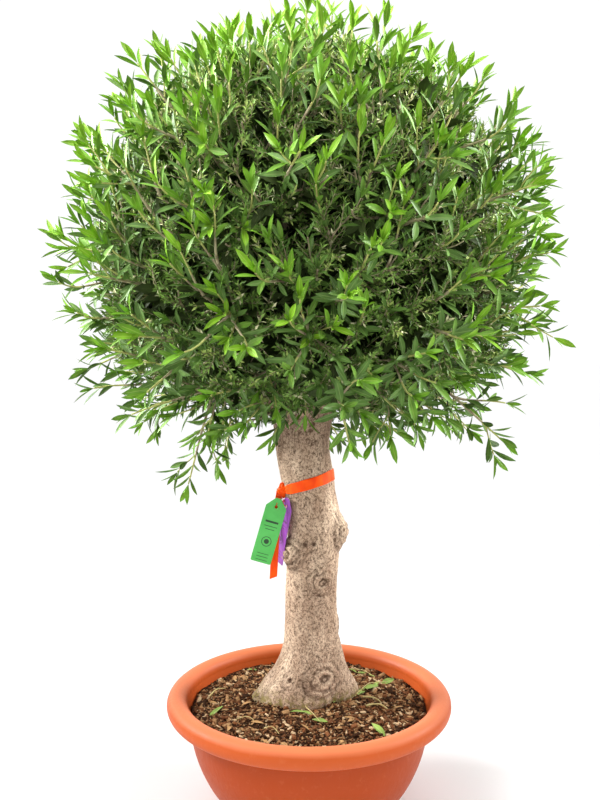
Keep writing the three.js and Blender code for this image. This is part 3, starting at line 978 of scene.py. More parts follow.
@dataclass
class Litter:
    """What has fallen on the compost: leaves, straws and bits of twig."""

    fill: Fill
    # Each one's middle, its direction in degrees, and its length.
    leaves: tuple = (
        ((-0.125, 0.169), 8, 0.034),
        ((-0.194, -0.062), 58, 0.054),
        ((0.136, -0.146), -61, 0.050),
        ((0.112, 0.010), 66, 0.044),
        ((0.134, 0.036), 38, 0.048),
        ((0.148, 0.066), 78, 0.042),
        ((0.174, 0.094), 40, 0.050),
        ((-0.022, -0.096), 168, 0.034),
        ((-0.006, -0.103), -20, 0.026),
        ((0.020, -0.136), -24, 0.034),
        ((0.034, -0.034), 30, 0.020),
        ((0.048, -0.020), 110, 0.018),
        ((0.056, -0.036), 60, 0.022),
        ((0.102, 0.172), -30, 0.026),
        ((0.122, 0.152), 20, 0.024),
        ((0.142, 0.130), -50, 0.026),
        ((-0.052, 0.190), 140, 0.028),
        ((0.010, 0.214), 20, 0.030),
    )
    # Each from one place to another, with how far it bows and its radius.
    straws: tuple = (
        ((-0.014, -0.017), (0.022, -0.141), -0.012, 0.00128),
        ((0.098, -0.012), (0.172, 0.092), 0.004, 0.00112),
        ((0.115, -0.015), (0.150, -0.035), 0.002, 0.00208),
        ((0.119, -0.053), (0.163, -0.062), 0.002, 0.00240),
        ((0.094, 0.182), (0.146, 0.124), 0.006, 0.00096),
        ((-0.150, -0.110), (-0.106, -0.128), 0.006, 0.00096),
        ((-0.214, 0.032), (-0.182, 0.060), 0.002, 0.00176),
        ((-0.090, -0.150), (-0.060, -0.170), 0.002, 0.00144),
    )
    dry: int = 46  # how many dry leaves lie about as well
    dry_length: tuple = (0.014, 0.034)
    edge_gap: float = 0.03  # how far they keep from the bowl
    leaf_lift: float = 0.006
    leaf_slim: float = 0.3  # a leaf's width as a share of its length
    straw_points: int = 15
    straw_lift: float = 0.005
    straw_arch: float = 0.006  # how much higher a straw's middle is
    straw_taper: float = 0.6
    seed: int = 5

    def build_leaves(self, grow: Growth) -> None:
        """Builds the fresh leaves and the dry ones.

        Args:
            grow: The growth that puts a leaf on each point.
        """
        random = np.random.default_rng(self.seed)
        reach = self.fill.bowl.wall_top_radius - self.edge_gap
        spots = np.sqrt(random.uniform(0.09, 1, self.dry))[:, None] * reach
        spots = spots * around(random.uniform(0, 2 * math.pi, self.dry))[:, :2]
        dry = [(spot, random.uniform(0, 360), random.uniform(*self.dry_length)) for spot in spots]
        kinds = (
            (LeafSkin("fallen", rgb(132, 156, 74), rgb(172, 184, 116), 0.6), self.leaves),
            (LeafSkin("dry", rgb(170, 130, 84), rgb(200, 164, 118), 0.7), dry),
        )
        for finish, some in kinds:
            count = len(some)
            place = np.array([each[0] for each in some])
            place = np.column_stack([place, self.fill.top(place) + self.leaf_lift])
            along = around(np.radians([each[1] for each in some]))
            along = along + UP * random.normal(0.05, 0.12, (count, 1))
            face = UP + random.normal(0, 0.25, (count, 3))
            length = np.array([each[2] for each in some])
            place = place - along * length[:, None] / 2
            gathered = Leaves()
            gathered.put(place, along, face, length, length * self.leaf_slim, np.zeros(count))
            piece = point_object(f"litter_{finish.name}", gathered.kept[0])
            placed(grow.run(piece, finish.make(), Along=6), "soil")

    def build_straws(self, grow: Growth) -> None:
        """Builds the straws and the bits of twig.

        Args:
            grow: The growth that gives a line its thickness.
        """
        share = np.linspace(0, 1, self.straw_points)[:, None]
        arch = np.sin(np.pi * share)
        lines, radii = [], []
        for start, end, bow, radius in self.straws:
            start, end = np.array(start), np.array(end)
            side = np.array([start[1] - end[1], end[0] - start[0]]) / np.linalg.norm(end - start)
            flat = start + (end - start) * share + side * bow * arch
            height = self.fill.top(flat) + self.straw_lift + self.straw_arch * arch[:, 0]
            lines.append(np.column_stack([flat, height]))
            radii.append(np.linspace(1, self.straw_taper, self.straw_points) * radius)
        piece = line_object("litter_straws", [np.array(lines)], radii)
        finish = TwigSkin("straw", rgb(206, 190, 128), rgb(166, 146, 92)).make()
        placed(grow.run(piece, finish, Sides=6), "soil")


# ---- Trunk and boughs ----
@dataclass(frozen=True)
class Burl:
    """A healed pruning wound: where it is on the trunk, how far it stands out and how wide."""

    azimuth: float  # degrees
    height: float
    out: float
    wide: float
    tall: float
    pit: float = 0.0  # how deep the hollow in its middle is
    furrow: float = 0.0  # how deep the furrows that curl round it are


@dataclass
class Trunk:
    """The bare trunk, from its flare at the compost to the knuckle that the boughs leave from."""

    foot: float = 0.2453
    head: float = 0.925
    radius: float = 0.055
    flare: float = 0.9
    flare_height: float = 0.066
    flare_power: float = 1.6
    flare_flat: float = 0.34
    toe_out: float = 0.019  # the root that runs out furthest
    toe_height: float = 0.021
    toe_azimuth: float = 197
    dome: float = 0.034
    dome_top: float = 0.006
    buried: float = 0.007  # how far the bark goes on under the compost's surface
    knuckle_height: float = 0.872
    knuckle_out: float = 0.009
    knuckle_tall: float = 0.048
    sides: int = 240
    levels: int = 400
    line: tuple = (
        (0.245, -0.008, 0.020),
        (0.330, 0.005, 0.016),
        (0.450, 0.005, 0.010),
        (0.620, 0.009, 0.002),
        (0.700, -0.002, 0.000),
        (0.790, -0.013, 0.002),
        (0.925, -0.006, 0.000),
    )  # height, and the middle's place there
    burls: tuple = (
        Burl(-6, 0.601, 0.017, 0.027, 0.032, furrow=0.0016),
        Burl(216, 0.562, 0.017, 0.026, 0.026, pit=0.001, furrow=0.0022),
        Burl(292, 0.506, 0.006, 0.023, 0.023, pit=0.0014, furrow=0.0026),
        Burl(284, 0.268, 0.013, 0.030, 0.026),
        Burl(247, 0.280, 0.006, 0.020, 0.024),
        Burl(100, 0.430, 0.011, 0.026, 0.028, pit=0.003, furrow=0.0020),
        Burl(58, 0.690, 0.009, 0.024, 0.026, furrow=0.0017),
        Burl(258, 0.585, 0.003, 0.014, 0.007, pit=0.0015),
        Burl(295, 0.299, 0.006, 0.025, 0.024, pit=0.0016, furrow=0.0024),
        Burl(239, 0.297, 0.003, 0.011, 0.013, pit=0.006, furrow=0.0008),
        Burl(252, 0.585, 0.002, 0.005, 0.005, pit=0.005),
        Burl(271, 0.586, 0.002, 0.005, 0.006, pit=0.006),
        Burl(168, 0.640, 0.007, 0.022, 0.022, pit=0.003, furrow=0.0018),
        Burl(130, 0.520, 0.006, 0.020, 0.026, furrow=0.0018),
        Burl(20, 0.400, 0.005, 0.022, 0.022, pit=0.002, furrow=0.0018),
        Burl(262, 0.264, -0.006, 0.011, 0.030),
    )
    solid_burls: int = 7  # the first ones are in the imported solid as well
    burl_round: float = 2.6  # how blunt a burl is
    # painted shade: the bark is painted darker under the head, where the head's shadow falls
    shade: float = 0.42  # how much darker the bark is under the head
    finish: Bark = Bark()

    def __post_init__(self) -> None:
        """Traces the centre line: a smooth curve through its knots."""
        knots = np.array([(x, y, z) for z, x, y in self.line])
        knots = np.concatenate([[2 * knots[0] - knots[1]], knots, [2 * knots[-1] - knots[-2]]])
        traced = []
        spans = np.linalg.norm(np.diff(knots, axis=0), axis=1) ** 0.5
        for i, (a, b, c, d) in enumerate(zip(knots, knots[1:], knots[2:], knots[3:])):
            before, here, after = spans[i : i + 3]
            start = here * ((b - a) / before - (c - a) / (before + here) + (c - b) / here)
            end = here * ((c - b) / here - (d - b) / (here + after) + (d - c) / after)
            t = np.linspace(0, 1, 40, endpoint=False)[:, None]
            bent = (2 * b - 2 * c + start + end) * t**3 + (3 * c - 3 * b - 2 * start - end) * t**2
            traced.append(bent + start * t + b)
        self.traced = np.concatenate([*traced, knots[-2:-1]])

    def middle(self, height: Array) -> Array:
        """The points of the centre line at heights."""
        x, y, z = self.traced.T
        height = np.asarray(height, float)
        return np.stack([np.interp(height, z, x), np.interp(height, z, y), height], -1)

    def plain(self, azimuth: Array, height: Array) -> Array:
        """How far the wood is from the middle, before its bark and small scars.

        Args:
            azimuth: In radians.
            height: The heights.

        Returns:
            The radius at each.
        """
        up = height - self.foot
        flare = self.flare * np.exp(-((np.maximum(up, 0) / self.flare_height) ** self.flare_power))
        lobes = 0.14 * np.cos(3 * azimuth - 0.6) + 0.09 * np.cos(5 * azimuth + 1.1)
        lobes = lobes - self.flare_flat * np.sin(azimuth) ** 2
        ripple = 0.018 * np.cos(4 * azimuth + up / 0.09) + 0.014 * np.cos(3 * azimuth - up / 0.06)
        above = (height - self.knuckle_height) / self.knuckle_tall
        knuckle = self.knuckle_out * np.exp(-(above**2))
        toe = np.exp(-((np.maximum(up, 0) / self.toe_height) ** 1.3))
        toe = toe * np.exp(-((wrapped(azimuth - math.radians(self.toe_azimuth)) / 0.55) ** 2))
        radius = self.radius * (1 + flare * (1 + lobes) + ripple) + knuckle + self.toe_out * toe
        for burl in self.burls[: self.solid_burls]:
            radius = radius + burl.out * np.exp(-self.off(burl, azimuth, height) ** self.burl_round)
        return radius

    def off(self, burl: Burl, azimuth: Array, height: Array) -> Array:
        """How far places are from a burl's middle, as a share of its size."""
        across = wrapped(azimuth - math.radians(burl.azimuth)) * self.radius
        return np.hypot(across / burl.wide, (height - burl.height) / burl.tall)

    def relief(self, azimuth: Array, height: Array) -> tuple[Array, Array]:
        """The bark's relief on the plain wood.

        Args:
            azimuth: In radians.
            height: The heights.

        Returns:
            How far it stands out, and how dark each place is, from 0 to 1: flecks and cracks, and
            painted shade in hollows, creases and folds and under the head.
        """
        place = around(azimuth) * self.radius
        place[..., 2] = height
        fleck_and_shade = np.zeros_like(height)
        out = np.zeros_like(height)
        curl = np.zeros_like(height)
        for i, burl in enumerate(self.burls):
            off = self.off(burl, azimuth, height)
            near = np.exp(-((off / 1.35) ** 4))
            if i >= self.solid_burls:
                out = out + burl.out * np.exp(-(off**self.burl_round))
            wobble = noise(place / 0.012, 140 + i)
            across = wrapped(azimuth - math.radians(burl.azimuth)) * self.radius
            round_ = np.arctan2(height - burl.height, across)
            furrow = np.cos(off * 11 + 1.7 * wobble + 1.1 * noise(place / 0.0055, 60 + i))
            broken = smooth(noise(place / 0.012, 120 + i), -0.8, 0.0)
            out = out + burl.furrow * near * furrow * 0.8
            # painted shade in the bottoms of the furrows round a burl
            fleck_and_shade = fleck_and_shade + 310 * burl.furrow * near * broken * smooth(-furrow, 0.3, 0.95)
            # a crease under the burl's rim, darkened with painted shade
            under = np.exp(-(((off - 1.3) / 0.2) ** 2)) * (burl.furrow > 0)
            under = under * (0.6 - 0.4 * np.sin(round_ + 0.6))
            out = out - (0.001 + 0.07 * burl.out) * under
            fleck_and_shade = fleck_and_shade + (0.25 + 16 * burl.out) * under
            pit = np.exp(-((off / (0.3 if burl.furrow else 0.8)) ** 2)) * (1 + 0.4 * wobble)
            out = out - burl.pit * pit
            # the pit is darker, partly the scar's own colour and partly painted shade
            fleck_and_shade = fleck_and_shade + min(burl.pit / 0.004, 1) * pit
            curl = curl + near * off
        bent = place + np.stack([curl, -curl, curl], -1) * 0.012
        flow = np.array([1, 1, 0.45])
        lumps = noise(place * flow / 0.028, 13)
        knobs = noise(bent * flow / 0.0095, 11)
        crust = noise(bent * np.array([1, 1, 0.75]) / 0.0042, 12)
        fine = noise(bent / 0.0024, 17)
        crack = smooth(np.abs(noise(bent * np.array([1, 1, 0.5]) / 0.0085, 14)), 0.085, 0.0)
        crack = crack * smooth(noise(place / 0.024, 15), -0.35, 0.3)
        flecks = smooth(crust + 0.5 * fine, 0.42, 0.72)
        out = out + 0.0016 * lumps + 0.0009 * knobs + 0.0005 * crust + 0.0003 * fine
        out = out - 0.0010 * crack - 0.0010 * flecks
        # cracks and flecks are dark marks of the bark; the low places between knobs get painted
        # shade
        fleck_and_shade = fleck_and_shade + 0.42 * crack + 0.55 * flecks + 0.22 * smooth(-knobs, 0.1, 0.8)
        # painted shade of the head on the upper trunk
        fleck_and_shade = fleck_and_shade + self.shade * smooth(height, 0.71, 0.86)
        foot = np.exp(-((np.maximum(height - self.foot, 0) / 0.045) ** 1.5))
        fold = noise(place * np.array([1, 1, 0.35]) / 0.016 + curl[..., None] * 0.3, 19)
        out = out + 0.0060 * foot * fold
        # painted shade in the valleys of the folds at the foot
        fleck_and_shade = fleck_and_shade + 0.5 * foot * smooth(-fold, 0.1, 0.6)
        return out, np.clip(fleck_and_shade, 0, 1)

    def surface(self, azimuth: Array, height: Array) -> Array:
        """How far the bark is from the trunk's middle."""
        return self.plain(azimuth, height) + self.relief(azimuth, height)[0]

    def build(self) -> None:
        """Builds the trunk's bark as one closed mesh."""
        low = self.foot - self.buried
        share = np.linspace(0, 1, self.levels) ** 1.06
        height = (low + (self.head - low) * share)[:, None]
        azimuth, height = np.broadcast_arrays(full_turn(self.sides)[None], height)
        out, fleck_and_shade = self.relief(azimuth, height)
        in_dome = np.maximum(0, height - self.head + self.dome) / (self.dome + self.dome_top)
        radius = (self.plain(azimuth, height) + out) * np.sqrt(1 - in_dome**2)
        rings = around(azimuth) * radius[..., None] + self.middle(height)
        points, faces = skin(rings, self.middle(low), self.middle(self.head))
        piece = new_object("trunk_bark", points, faces, material=self.finish.make())
        damp = smooth(height, self.foot + 0.034, self.foot + 0.002)
        set_attribute(piece, "fleck_and_shade", np.append(fleck_and_shade.ravel(), [0, 0]))
        set_attribute(piece, "moss", np.append(damp.ravel(), [0, 0]))
        placed(piece, "bark", "trunk")


@dataclass
class Head:
    """The space of the crown, a flattened ball shared out among the masses of foliage."""

    centre: Array = field(default_factory=lambda: np.array([-0.004, 0.0, 1.199]))
    radius: Array = field(default_factory=lambda: np.array([0.454, 0.454, 0.411]))
    heart: float = 0.6
    core_outside: float = 0.84
    core_inside: float = 0.33
    core_radius: float = 0.158
    core_border: float = 0.005
    # By ring: name, how many masses, and their elevation and first azimuth in degrees.
    rings: tuple = (("top", 1, 90, 0), ("upper", 5, 24, 18), ("lower", 6, -28, 30))

    def __post_init__(self) -> None:
        """Works out the masses: their ring, azimuth in radians, name and heart."""
        self.masses = []
        for ring, count, elevation, turn in self.rings:
            for i in range(count):
                azimuth = math.radians(turn + 360 * i / count)
                rise = math.radians(elevation)
                way = around(azimuth) * math.cos(rise) + UP * math.sin(rise)
                name = f"{ring}_{i + 1}" if count > 1 else ring
                self.masses.append((ring, azimuth, name, self.inside(way, self.heart)))
        self.hearts = np.array([mass[3] for mass in self.masses])

    def inside(self, way: Array, share: Array) -> Array:
        """The points of the head in a direction, at a share of its radius."""
        return self.centre + way * self.radius * np.asarray(share)[..., None]

    def share(self, points: Array) -> Array:
        """At which share of the head's radius points are."""
        return np.linalg.norm((points - self.centre) / self.radius, axis=-1)

    def owner(self, point: Array) -> int:
        """The number of the mass whose space a point is in."""
        return int(np.argmin(np.linalg.norm(self.hearts - point, axis=-1)))

    def core_reach(self, mass: int, way: Array) -> float:
        """How far a mass's dense core goes from its heart.

        Args:
            mass: The mass's number.
            way: The unit vector of a direction.

        Returns:
            The distance.
        """
        step = 0.004
        far = step
        while far < self.core_radius:
            point = self.hearts[mass] + way * far
            if not self.core_inside <= self.share(point) <= self.core_outside:
                break
            gaps = self.hearts - self.hearts[mass]
            gaps[mass] = UP
            past = ((point - (self.hearts + self.hearts[mass]) / 2) * unit(gaps)).sum(-1)
            past[mass] = -1
            if past.max() >= -self.core_border:
                break
            far += step
        return far - step


@dataclass
class Limbs:
    """Many limbs of one kind, each a cubic curve with its thickness at its foot and its tip."""

    handles: Array
    foot_radius: Array
    tip_radius: Array

    def at(self, share: Array) -> Array:
        """The points of each limb at shares of its way, one set of shares for each limb."""
        t = share[..., None]
        a, b, c, d = np.moveaxis(self.handles, 1, 0)[:, :, None]
        return a * (1 - t) ** 3 + 3 * b * t * (1 - t) ** 2 + 3 * c * t**2 * (1 - t) + d * t**3

    def way(self, share: Array) -> Array:
        """The directions of each limb at shares of its way."""
        t = share[..., None]
        a, b, c, d = np.moveaxis(self.handles, 1, 0)[:, :, None]
        return unit((b - a) * (1 - t) ** 2 + 2 * (c - b) * t * (1 - t) + (d - c) * t**2)

    def lengths(self) -> Array:
        """About how long each limb is."""
        return np.linalg.norm(np.diff(self.lines(6), axis=1), axis=-1).sum(1)

    def lines(self, steps: int, start: float = 0.0, end: float = 1.0) -> Array:
        """Each limb as a line of points from start to end of its way."""
        share = np.linspace(start, end, steps + 1)
        return self.at(np.broadcast_to(share, (len(self.handles), steps + 1)))

    def thickness(self, steps: int, start: float = 0.0, end: float = 1.0) -> Array:
        """The radius at each of those points."""
        share = np.linspace(start, end, steps + 1) ** 0.8
        return self.foot_radius[:, None] * (1 - share) + self.tip_radius[:, None] * share

    def joints(self, steps: int, start: float, end: float) -> tuple[Array, Array]:
        """The places along all limbs where others may grow on, and the directions there."""
        share = np.broadcast_to(np.linspace(start, end, steps), (len(self.handles), steps))
        return self.at(share).reshape(-1, 3), self.way(share).reshape(-1, 3)


@dataclass
class Boughs:
    """The twelve boughs, from inside the trunk's knuckle to the hearts of their masses."""

    head: Head
    trunk: Trunk
    bend_at: float = 0.38
    tip_radius: float = 0.008
    sides: int = 20
    steps: int = 56
    # By ring: radius at the foot, where it leaves the trunk, and how far it bows outwards.
    kinds: dict = field(
        default_factory=lambda: {
            "top": (0.018, 0.905, 0.0, 0.0),
            "upper": (0.016, 0.888, 0.036, -0.038),
            "lower": (0.019, 0.826, 0.0, 0.046),
        }
    )

    def __post_init__(self) -> None:
        """Lays the limbs out, each to its mass's heart."""
        handles, feet = [], []
        for ring, azimuth, _, heart in self.head.masses:
            radius, leave, off, bow = self.kinds[ring]
            outward = around(azimuth)
            start = self.trunk.middle(leave) + outward * off
            bend = start + (heart - start) * self.bend_at + outward * bow - UP * bow * 0.35
            inner, outer = start + (bend - start) * 2 / 3, heart + (bend - heart) * 2 / 3
            handles.append([start, inner, outer, heart])
            feet.append(radius)
        thin = np.full(len(feet), self.tip_radius * 0.8)
        self.limbs = Limbs(np.array(handles), np.array(feet), thin)

    def build(self) -> None:
        """Builds all the boughs as one mesh with the bark's relief."""
        lines, thickness = self.limbs.lines(self.steps), self.limbs.thickness(self.steps)
        share = np.broadcast_to(np.linspace(0, 1, self.steps + 1), lines.shape[:2])
        ways = self.limbs.way(share)
        side = unit(np.cross(ways, UP + ways * 0.01))
        front = np.cross(side, ways)
        turn = full_turn(self.sides)[:, None]
        out = side[..., None, :] * np.cos(turn) + front[..., None, :] * np.sin(turn)
        rings = lines[..., None, :] + out * thickness[..., None, None]
        relief = 0.0014 * noise(rings / 0.016, 21) + 0.0007 * noise(rings * (1, 1, 0.5) / 0.005, 22)
        rings = rings + out * relief[..., None]
        # painted shade in the low places of the relief
        fleck_and_shade = smooth(-relief, 0.0006, 0.0016) * 0.6
        skins = [skin(ring[:, ::-1], line[0], line[-1]) for ring, line in zip(rings, lines)]
        finish = Bark("bough_bark", rgb(170, 146, 122), rgb(136, 112, 90), rgb(84, 66, 50))
        piece = new_object("boughs_bark", *joined(skins), material=finish.make())
        depth = [np.append(each[:, ::-1].ravel(), [0, 0]) for each in fleck_and_shade]
        set_attribute(piece, "fleck_and_shade", np.concatenate(depth))
        set_attribute(piece, "moss", np.zeros(len(piece.data.vertices)))
        placed(piece, "bark", *(f"bough_{mass[2]}" for mass in self.head.masses))


# ---- Crown ----
class Shade(Enum):
    """The shades of leaf, from the newest tips to the inside of the crown, painted dark as shade.
    """

    YOUNG = LeafSkin("young", rgb(112, 156, 34), rgb(154, 180, 76))
    FRESH = LeafSkin("fresh", rgb(102, 148, 38), rgb(144, 170, 74))
    GREEN = LeafSkin("green", rgb(92, 130, 44), rgb(132, 154, 76))
    DEEP = LeafSkin("deep", rgb(80, 112, 48), rgb(120, 142, 78), 0.48)
    # painted shade: the dark leaves inside the crown
    SHADOW = LeafSkin("shadow", rgb(54, 68, 30), rgb(72, 84, 42), 0.7)
    # painted light: one small leaf painted shaded, plain and lit, dealt out by height and depth
    DARK = LeafSkin("dark", rgb(94, 124, 54), rgb(124, 144, 78), 0.44)
    DULL = LeafSkin("dull", rgb(126, 160, 76), rgb(160, 184, 112), 0.44)
    LIGHT = LeafSkin("light", rgb(166, 186, 100), rgb(192, 200, 132), 0.44)
    # partly the leaves' silvery undersides, partly painted glints
    PALE = LeafSkin("pale", rgb(214, 212, 170), rgb(226, 220, 188), 0.5)

    @property
    def steps(self) -> int:
        """How many points a leaf of this shade has along its rib."""
        large = (Shade.YOUNG, Shade.FRESH, Shade.GREEN, Shade.DEEP)
        return 6 if self in large else 4 if self is Shade.SHADOW else 3


SHADES = list(Shade)


def numbers_of(*shades: Shade) -> Array:
    """The numbers of shades."""
    return np.array([SHADES.index(shade) for shade in shades])


@dataclass
class Leaves:
    """Leaves that are gathered shade by shade until they are built."""

    most: int = 180000  # the most triangles in one piece
    kept: list = field(default_factory=list)

    def put(
        self, place: Array, along: Array, face: Array, length: Array, width: Array, shade: Array
    ) -> None:
        """Keeps leaves for building.

        Args:
            place: Where each leaf's foot is.
            along: The direction of its rib.
            face: The side that its upper face looks to.
            length: How long it is.
            width: How wide it is.
            shade: The number of its shade.
        """
        along = unit(along)
        side = unit(np.cross(along, face))
        normal = np.cross(side, along)
        x, y, z = side.T
        about_x = np.arctan2(along[:, 2], normal[:, 2])
        turn = (about_x, np.arctan2(-z, np.hypot(x, y)), np.arctan2(y, x))
        self.kept.append(np.column_stack([place, *turn, width, length, width, shade]))

    def build(self, grow: Growth, replaced: list) -> None:
        """Builds a piece, or several, for each shade.

        Args:
            grow: The growth that puts a leaf on each point.
            replaced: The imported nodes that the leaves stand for.
        """
        rows = np.concatenate(self.kept)
        for number, shade in enumerate(SHADES):
            mine = rows[rows[:, 9] == number]
            material = shade.value.make()
            each = 4 * (shade.steps - 2)
            parts = np.array_split(mine, max(1, math.ceil(len(mine) * each / self.most)))
            for i, part in enumerate(parts):
                piece = point_object(f"leaves_{shade.value.name}_{i + 1}", part)
                grow.run(piece, material, Along=shade.steps)
                placed(piece, "leaf", *(replaced if shade is Shade.DEEP else ()))


@dataclass
class Crown:
    """The head's branches, shoots and leaves, grown on from the boughs."""

    head: Head
    boughs: Boughs
    seed: int = 4127
    leaders: int = 96
    leader_reach: float = 1.035
    leader_more: float = 0.155
    low_more: float = 0.22
    front_width: float = 0.090
    front_reach: float = 0.98
    front_height: float = 0.865  # no shoot before the trunk ends lower than this
    branches: int = 560
    shoots: int = 340
    inner_shoots: int = 250
    sprays: int = 7000
    spray_pairs: int = 12
    heart_limbs: int = 400
    spring: tuple = (-0.004, 0.0, 0.99)  # the shoots point away from here
    leaf_length: float = 0.049
    leaf_slim: float = 0.232  # a leaf's width as a share of its length
    pair_gap: float = 0.021
    small_leaf: float = 0.0132
    small_slim: float = 0.33
    small_gap: float = 0.0056

    def __post_init__(self) -> None:
        """Starts with the boughs as the only limbs."""
        self.random = np.random.default_rng(self.seed)
        self.leaves = Leaves()
        places, ways = self.boughs.limbs.joints(9, 0.55, 1.0)
        self.joint_places, self.joint_ways = [places], [ways]
        self.twigs = {"woody": [], "green": []}

    def leader_lines(self) -> Limbs:
        """The long shoots that the masses' solids show, by the same seeded rule.

        Returns:
            The limbs, from a joint on a bough to where the end leaves start.
        """
        head, handles, feet = self.head, [], []
        for k in range(self.leaders):
            numbers = seeded_numbers(self.seed + k)
            level = 1 - 2 * (k + 0.5) / self.leaders + (next(numbers) - 0.5) * 0.07
            height = min(max(level, -0.93), 0.995)
            azimuth = k * GOLDEN_ANGLE + (next(numbers) - 0.5) * 0.3
            way = around(azimuth) * math.sqrt(1 - height * height) + UP * height
            low = min(max((-0.35 - height) / 0.4, 0), 1)
            longest = 1 if k % 3 == 0 else next(numbers) ** 2
            reach = self.leader_reach + longest * (self.leader_more + self.low_more * low)
            beside_line = abs(way[0]) * head.radius[0] < self.front_width
            before_trunk = low == 1 and way[1] < 0 and beside_line
            tip = head.inside(way, self.front_reach if before_trunk else reach)
            foot = head.inside(way, 0.7) - UP * 0.062 * (1 - abs(height)) * (1 - low)
            mass = head.owner(head.inside(way, 0.95))
            heart = head.hearts[mass]
            lean = foot - heart
            deep = head.core_reach(mass, unit(lean)) * 0.62
            if np.linalg.norm(lean) > deep:
                foot = heart + unit(lean) * deep
            end = tip - unit(tip - foot) * self.leaf_length * 0.9
            bend = foot + (end - foot) * 0.55 - UP * 0.010
            joint = self.joints_for(end[None], unit(end - foot)[None], 0.9, 0.05)[0]
            handles.append([joint[0], foot, bend, end])
            feet.append(0.0044 + 0.0012 * longest)
        feet = np.array(feet)
        return Limbs(np.array(handles), feet, np.full(len(feet), 0.0015))

    def swell(self, ways: Array) -> Array:
        """How much further out than the plain ball the crown is.

        Args:
            ways: Directions from its middle.

        Returns:
            The share of its radius to add: most low on its flanks, less than none above them.
        """
        humps = ((-0.58, 0.22, 0.075), (0.35, 0.4, -0.03), (1.0, 0.2, 0.025))
        height = ways[:, 2]
        return sum(size * np.exp(-(((height - level) / wide) ** 2)) for level, wide, size in humps)

    def lie(self, tips: Array, rise: float) -> Array:
        """Which way shoots point at their tips: away from the spring, and up in the upper part.

        Args:
            tips: Where they end.
            rise: How much they turn up.

        Returns:
            The unit vectors.
        """
        high = (tips[:, 2] - self.head.centre[2]) / self.head.radius[2]
        turned = rise * smooth(high, -0.75, 0.4)
        return unit(unit(tips - np.array(self.spring)) + UP * turned[:, None])

    def joints_for(
        self, tips: Array, axes: Array, lean: float, least: float
    ) -> tuple[Array, Array]:
        """Finds where on the limbs so far each new one grows from.

        Args:
            tips: Where the new limbs end.
            axes: Which way they point there.
            lean: How much a limb that points the same way is preferred to a nearer one.
            least: The shortest that a new limb may be.

        Returns:
            The places and the directions of the old limbs there.
        """
        places, ways = np.concatenate(self.joint_places), np.concatenate(self.joint_ways)
        depth = self.head.share(places)
        chosen = []
        for some in np.array_split(np.arange(len(tips)), max(1, len(tips) // 250)):
            gap = tips[some, None] - places[None]
            far = np.linalg.norm(gap, axis=-1)
            along = (gap * ways[None]).sum(-1) / np.maximum(far, 1e-6)
            behind = (gap * axes[some, None]).sum(-1) / np.maximum(far, 1e-6)
            cost = far * (1 + lean * (1 - along) + 1.2 * lean * (1 - behind)) + 10 * (far < least)
            outside = depth[None] - self.head.share(tips[some])[:, None] + 0.04
            chosen.append(np.argmin(cost + 4 * np.maximum(outside, 0), axis=1))
        chosen = np.concatenate(chosen)
        return places[chosen], ways[chosen]

    def ways_round(self, count: int, jitter: float) -> Array:
        """Directions spread evenly over the head.

        Args:
            count: How many.
            jitter: How far they are thrown off even, in radians.

        Returns:
            The unit vectors.
        """
        number = np.arange(count)
        height = 1 - 2 * (number + 0.5) / count
        flat = np.sqrt(1 - height**2)
        ways = around(number * GOLDEN_ANGLE) * flat[:, None] + UP * height[:, None]
        return unit(ways + self.random.normal(0, jitter, ways.shape))

    def grow_limbs(
        self, ways: Array, shares: Array, lean: float, least: float, thick: tuple, rise: float
    ) -> Limbs:
        """Grows limbs from the ones so far to places in the head.

        Args:
            ways: The directions of their tips from the head's centre.
            shares: How far out the tips are.
            lean: How much they prefer an old limb that points their way.
            least: The shortest that one may be.
            thick: The radius at the foot, and at the tip.
            rise: How far they turn upwards at their tips.

        Returns:
            The limbs.
        """
        tips = self.head.inside(ways, shares)
        before_trunk = (np.abs(tips[:, 0]) < self.front_width) & (tips[:, 1] < 0)
        tips = tips[~(before_trunk & (tips[:, 2] < self.front_height))]
        axes = unit(self.lie(tips, rise) + self.random.normal(0, 0.1, tips.shape))
        feet, old = self.joints_for(tips, axes, lean, least)
        gap = tips - feet
        far = np.linalg.norm(gap, axis=-1, keepdims=True)
        near = feet + unit(old + unit(gap) * 1.1) * far * 0.34
        late = tips - unit(axes + unit(gap) * 0.35) * far * 0.42
        sizes = np.ones(len(tips))
        return Limbs(np.stack([feet, near, late, tips], 1), sizes * thick[0], sizes * thick[1])

    def keep(
        self, limbs: Limbs, kind: str, steps: int, sides: int, start: float = 0, end: float = 1
    ) -> None:
        """Keeps limbs for building as twigs.

        Args:
            limbs: The limbs.
            kind: Which skin they have.
            steps: In how many steps each is traced.
            sides: How many sides its section has.
            start: The share of its way that it is traced from.
            end: The share of its way that it is traced to.
        """
        way = (steps, start, end)
        self.twigs[kind].append((limbs.lines(*way), limbs.thickness(*way), sides))

    def join(self, limbs: Limbs, steps: int, start: float, end: float) -> None:
        """Lets later limbs grow on from these."""
        for kept, new in zip((self.joint_places, self.joint_ways), limbs.joints(steps, start, end)):
            kept.append(new)

